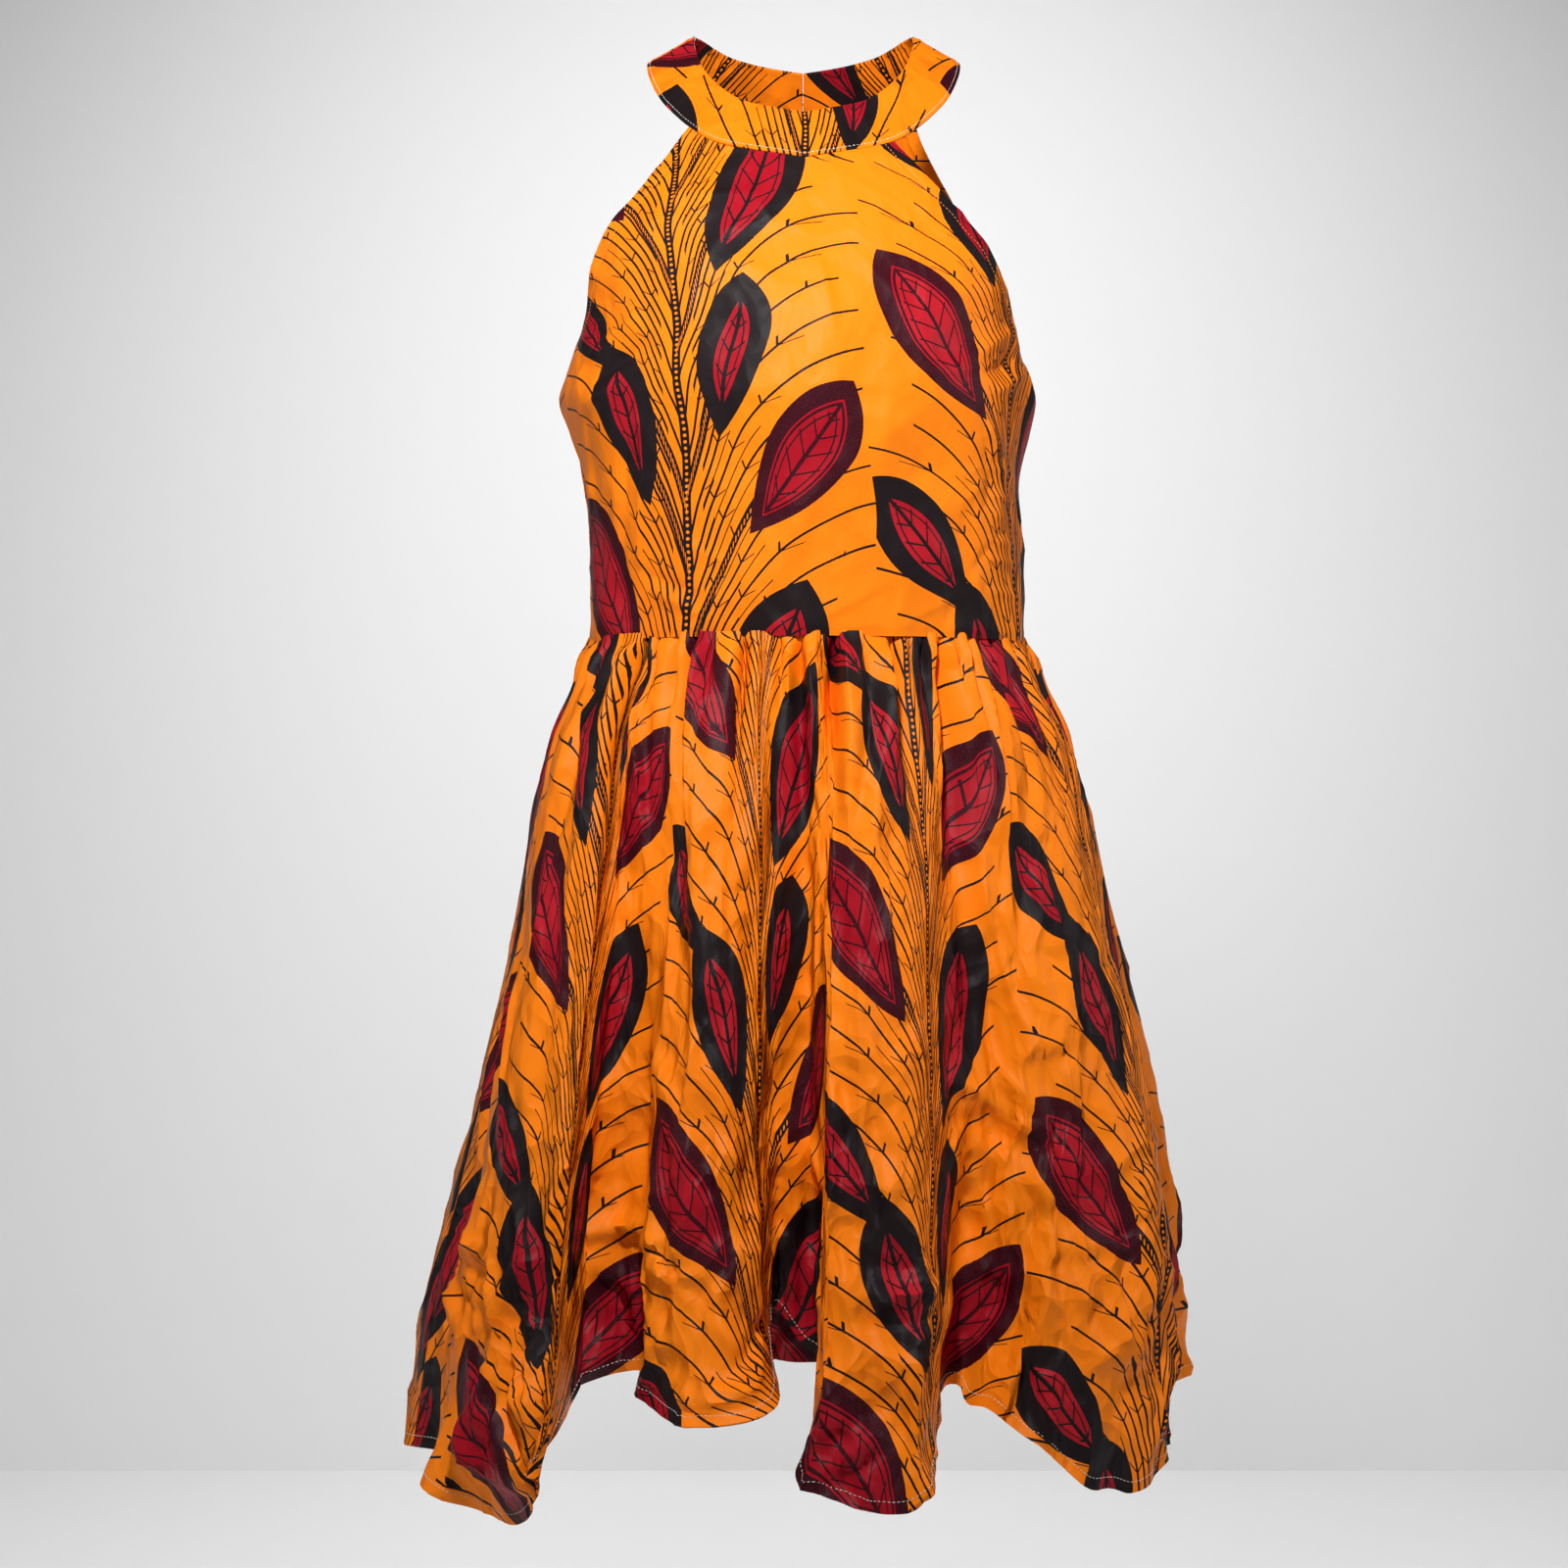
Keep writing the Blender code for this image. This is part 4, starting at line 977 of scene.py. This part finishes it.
def make_print():
    """Wax printed cotton: a generic botanical print on the cloth's own cut."""
    s = Shader("wax_print_cotton")
    place = s.node("UVMap", {"uv_map": "cut"})
    hand_x, hand_y, _ = s.split(s.noise(place, 9.0, 1.0, output=1))
    x, y, _ = s.split(place)
    x = x + (hand_x - 0.5) * HAND_DRAWN
    y = y + (hand_y - 0.5) * HAND_DRAWN

    stalk = (x / STALK_SPACING + 0.5).math("FLOOR")
    across = x - stalk * STALK_SPACING
    odd = abs(stalk.math("MODULO", 2.0))
    up = y + odd * (REPEAT / 2)
    off = abs(across)
    side = across.math("SIGN")
    slope = (off * (-1 / STEM_BEND)).math("EXPONENT") * (STEM_RISE / STEM_BEND)
    lean = (slope * slope + 1).math("SQRT")
    stem = up - STEM_RISE + slope * STEM_BEND

    line_no = (stem / LINE_STEP).math("ROUND")
    from_line = abs(stem - line_no * LINE_STEP) / lean
    key = line_no + stalk * 37.3 + side * 11.7
    chance = s.node("TexWhiteNoise", {"noise_dimensions": "1D"}, W=key)
    reach = chance * 0.07 + 0.090
    lines = (from_line < FINE_LINE) * (off < reach)
    between = abs((stem + LINE_STEP / 2).near(LINE_STEP)) / lean
    short = s.node("TexWhiteNoise", {"noise_dimensions": "1D"}, W=key + 5.3) * 0.045 + 0.018
    lines = lines.math("MAXIMUM", (between < FINE_LINE) * (off < short) * (off > 0.011))
    barb = abs((up + chance * 0.04).near(0.033) - from_line * 1.2)
    barbs = (barb < 0.0007) * (from_line < 0.0052) * (off < reach * 0.8) * (off > 0.012)
    lines = lines.math("MAXIMUM", barbs)

    along = lean - ((lean + 1) / slope).math("LOGARITHM", math.e)
    run = (along * -STEM_BEND).near(STEM_DOTS)
    stems = off < STALK_WIDTH
    dots = (off * off + up.near(STALK_DOTS) * up.near(STALK_DOTS)).math("SQRT") < 0.00115

    best = leaf_along = leaf_off = black = None
    for leaf in LEAVES:
        sign = 1 if leaf.across > 0 else -1
        root = leaf.up - stem_height(leaf.across)
        from_stem = abs((stem - root).near(REPEAT)) / lean
        own_side = (across * sign > 0) * (off < abs(leaf.across))
        stems = stems.math("MAXIMUM", (from_stem < STEM_WIDTH) * own_side)
        seen = (from_stem * from_stem + run * run).math("SQRT") < 0.00100
        dots = dots.math("MAXIMUM", seen * own_side)

        cosine, sine = math.cos(math.radians(leaf.tilt)), math.sin(math.radians(leaf.tilt))
        dx, dy = across - leaf.across, (up - leaf.up).near(REPEAT)
        a, b = dx * cosine + dy * sine, dy * cosine - dx * sine
        half, broad = leaf.length / 2, leaf.width / 2
        radius = (half * half + broad * broad) / (2 * broad)
        waist = abs(b) * (1 - a * (0.40 / half)) + (radius - broad)
        depth = radius - (a * a + waist * waist).math("SQRT")
        if best is None:
            best, leaf_along, leaf_off, black = depth, a, b, depth * 0 + leaf.black
        else:
            nearer = depth > best
            best = best.math("MAXIMUM", depth)
            leaf_along = leaf_along + (a - leaf_along) * nearer
            leaf_off = leaf_off + (b - leaf_off) * nearer
            black = black + (leaf.black - black) * nearer

    core = best > LEAF_FRAME
    vein = (leaf_along - abs(leaf_off) * 1.1).near(VEIN_STEP)
    midrib = (abs(leaf_off) < 0.0014) * core
    veins = ((abs(vein) < 0.0009) * (best > LEAF_FRAME + 0.0015)).math("MAXIMUM", midrib)
    outline = (abs(best - LEAF_FRAME + 0.0022) < 0.0006) * (black < 0.5)
    contour = abs(best - LEAF_FRAME - 0.0034) < 0.0005

    maroon = s.mix(s.noise(place, 900.0, 1.0) > 0.53, MAROON, DARK_MAROON)
    frame_colour = s.mix(black, maroon, INK)
    cloud = s.noise(place, 7.0, 3.0)
    ground = s.mix(cloud.between(0.35, 0.75), ORANGE, DEEP_ORANGE)
    ground = s.mix(0.35, ORANGE, ground)
    colour = s.mix(lines, ground, INK)
    colour = s.mix(stems, colour, INK)
    colour = s.mix(dots, colour, ORANGE)
    colour = s.mix(best > 0.0, colour, frame_colour)
    colour = s.mix(outline, colour, RED)
    red = s.mix(cloud.between(0.4, 0.65), RED, BRIGHT_RED)
    colour = s.mix(core, colour, red)
    colour = s.mix(contour, colour, INK)
    colour = s.mix(veins * core, colour, frame_colour)

    warp_thread, weft_thread = ((k * (2 * math.pi / THREAD_PITCH)).math("SINE") for k in (x, y))
    cloth = s.noise(place, 160.0, 4.0)
    drift_x, drift_y, _ = s.split(s.noise(place, 12.0, 2.0, output=1))
    bent = s.join((x + drift_x * 0.05) * 1.5, y + drift_y * 0.05)
    facets = s.node("TexVoronoi", {"voronoi_dimensions": "2D"}, Vector=bent, Scale=16.0)
    small_facets = s.node("TexVoronoi", {"voronoi_dimensions": "2D"}, Vector=bent, Scale=47.0)
    lively = y.between(0.12, -0.40) * 0.75 + 0.25
    height = warp_thread * weft_thread * 0.00001 + cloth * 0.00009
    height = height + (facets * 0.0140 + small_facets * 0.0030) * lively
    bump = s.node("Bump", None, Strength=1.0, Distance=1.0, Height=height)
    s.set(Base_Color=colour, Roughness=cloth * 0.12 + 0.44, Normal=bump, Specular_IOR_Level=0.12)
    return s.material


def make_thread(name, colour):
    s = Shader(name)
    place = s.node("TexCoord", output=3)
    fuzz = s.node("TexNoise", None, Vector=place, Scale=3000.0, Detail=2.0)
    s.set(Base_Color=s.mix(fuzz, colour, tuple(c * 0.7 for c in colour[:3]) + (1,)), Roughness=0.6)
    s.set(Sheen_Weight=0.2)
    return s.material


def make_button_finish():
    s = Shader("nape_button_finish")
    place = s.node("TexCoord", output=3)
    grain = s.node("TexNoise", None, Vector=place, Scale=400.0, Detail=4.0, Distortion=1.5)
    s.set(Base_Color=s.mix(grain, (0.010, 0.008, 0.008, 1), (0.045, 0.028, 0.022, 1)))
    s.set(Roughness=grain * 0.15 + 0.2, Coat_Weight=0.3)
    return s.material


def dress_up(piece, material, node=None):
    """Gives a piece its finish and its body, and hides the CAD part that it stands for."""
    piece.data.materials.clear()
    piece.data.materials.append(material)
    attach(piece, "root")
    if node:
        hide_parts(node)
    return piece


def hem_stitches(name, points):
    lengths = arc(points, 0)
    from_hem = lengths[-1][None] - lengths
    normals = grid_normals(points, IN_SKIRT)
    path, faces = line_on(points[-20:], normals[-20:], from_hem[-20:], HEM_STITCHING)
    return stitch(name, path, faces, pitch=3.2 * MM, length=2.4 * MM, radius=0.26 * MM)


def make_skirt(cotton, thread):
    """The two skirt widths, each held in at the waist, with a row of stitches along its hem."""
    front = make_skirt_width("skirt_front_cloth", -90, FRONT_TUCKS, SKIRT_STROKES, (0.035, 0.11))
    dress_up(front[0], cotton, "skirt_front")
    back = make_skirt_width("skirt_back_cloth", 90, back_tucks(), (), (0.10, 0.02))
    dress_up(back[0], cotton, "skirt_back")
    backs = ["bodice_back_left_cloth", "bodice_back_right_cloth"]
    for (piece, points, cut), above in ((front, ["bodice_front_cloth"]), (back, backs)):
        stitches = hem_stitches(piece.name + "_hem_stitches", points)
        dress_up(stitches, thread)


def make_bodice(cotton, thread):
    """The bodice front and the two halves of its back, with their armholes stitched."""
    creases = BODICE_STROKES + SIDE_RIPPLES
    panels = [make_bodice_panel(name, *rest) for name, *rest in (
        ("bodice_front_cloth", front_face, FRONT_CORNERS, -1, 1, creases, (0.085, 0.05)),
        ("bodice_back_left_cloth", back_face, BACK_CORNERS, 0, 1, (), (0.0, 0.21), "left"),
        ("bodice_back_right_cloth", back_face, BACK_CORNERS, -1, 0, (), (0.08, 0.11), "right"),
    )]
    for piece, points, normals, armhole in panels:
        name = piece.name.replace("_cloth", "")
        dress_up(piece, cotton, name)
        middle = points.shape[1] // 2
        for number, half in enumerate((np.s_[:, :middle], np.s_[:, middle:])):
            path, faces = line_on(points[half], normals[half], armhole[half], HEM_STITCHING, axis=1)
            if len(path) > 20:
                row = stitch("%s_armhole_stitches_%d" % (name, number + 1), path, faces)
                dress_up(row, thread)


def make_collar_band(cotton, thread):
    """The three collar pieces, which lie round the neck and carry the rest."""
    for name, start, end in (
        ("collar_front", -90, 90),
        ("collar_back_left", 90, 179.93),
        ("collar_back_right", 180.07, 270),
    ):
        collar, points, normals, edge = make_collar(name + "_cloth", start, end)
        dress_up(collar, cotton, name)
        path, faces = line_on(points[6:], normals[6:], edge[6:], TOPSTITCH)
        topstitch = stitch(name + "_topstitch", path, faces)
        dress_up(topstitch, thread)


def main():
    cotton = make_print()
    white_thread = make_thread("white_thread", (0.80, 0.76, 0.68, 1))
    orange_thread = make_thread("orange_thread", (0.80, 0.27, 0.02, 1))
    make_skirt(cotton, white_thread)
    make_bodice(cotton, orange_thread)
    make_collar_band(cotton, white_thread)
    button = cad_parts["nape_button"].data.materials
    button.clear()
    button.append(make_button_finish())
    dress_up(make_nape_loop("nape_loop_cord"), orange_thread, "nape_loop")


def soft_light(name, place, target, size, power, spread=180):
    light = bpy.data.lights.new(name, "AREA")
    light.size = size
    light.energy = power
    light.spread = math.radians(spread)
    lamp = bpy.data.objects.new(name, light)
    lamp.location = place
    lamp.rotation_euler = (Vector(target) - Vector(place)).to_track_quat("-Z", "Y").to_euler()
    lamp.visible_camera = False
    bpy.context.scene.collection.objects.link(lamp)


def set_stage():
    """A plain pale floor and backdrop, soft studio light and the camera."""
    nothing_selected()
    bpy.ops.mesh.primitive_plane_add(size=STAGE_SIZE, location=(0, 0, FLOOR_Z))
    floor = bpy.context.object
    floor.name = "floor"
    upright = (math.pi / 2, 0, 0)
    bpy.ops.mesh.primitive_plane_add(size=STAGE_SIZE, location=(0, BACKDROP_Y, 2.6), rotation=upright)
    wall = bpy.context.object
    wall.name = "backdrop"
    s = Shader("pale_paper")
    s.set(Base_Color=(0.88, 0.88, 0.88, 1), Roughness=0.9)
    for piece in (floor, wall):
        piece.data.materials.append(s.material)

    bpy.context.scene.view_settings.view_transform = "Standard"
    world = bpy.data.worlds.new("studio")
    bpy.context.scene.world = world
    world.use_nodes = True
    tree = world.node_tree
    seen = tree.nodes["Background"]
    seen.inputs[0].default_value = (0.85, 0.85, 0.85, 1)
    ambient = tree.nodes.new("ShaderNodeBackground")
    ambient.inputs[0].default_value = (0.95, 0.97, 1.0, 1)
    ambient.inputs[1].default_value = 0.03
    rays, either = tree.nodes.new("ShaderNodeLightPath"), tree.nodes.new("ShaderNodeMixShader")
    tree.links.new(rays.outputs["Is Camera Ray"], either.inputs[0])
    tree.links.new(ambient.outputs[0], either.inputs[1])
    tree.links.new(seen.outputs[0], either.inputs[2])
    tree.links.new(either.outputs[0], tree.nodes["World Output"].inputs[0])

    soft_light("key", (-0.10, -0.98, 0.24), (0, 0, -0.28), 0.12, 16.5)
    soft_light("back_key", (0.15, 1.20, 0.25), (0, 0, -0.40), 0.30, 16)
    for name, x, power in (("left", -2.4, 8), ("right", 2.4, 15)):
        soft_light("side_" + name, (x, -0.3, 0.2), (0, 0, -0.5), 1.0, power)
    for name, x, y in (("back", 0, 1), ("front", 0, -1), ("left", -1, 0), ("right", 1, 0)):
        power = 34 if name == "front" else 50
        soft_light(name + "_wash", (1.5 * x, 1.5 * y, 1.7), (4 * x, 4 * y, FLOOR_Z), 2.0, power, 120)

    lens = bpy.data.cameras.new("camera")
    lens.sensor_width = SENSOR_WIDTH
    lens.lens = SENSOR_WIDTH * FOCAL_PIXELS / FRAME_PIXELS
    eye = bpy.data.objects.new("camera", lens)
    eye.location = EYE
    eye.rotation_euler = upright
    bpy.context.scene.collection.objects.link(eye)
    bpy.context.scene.camera = eye


main()
set_stage()
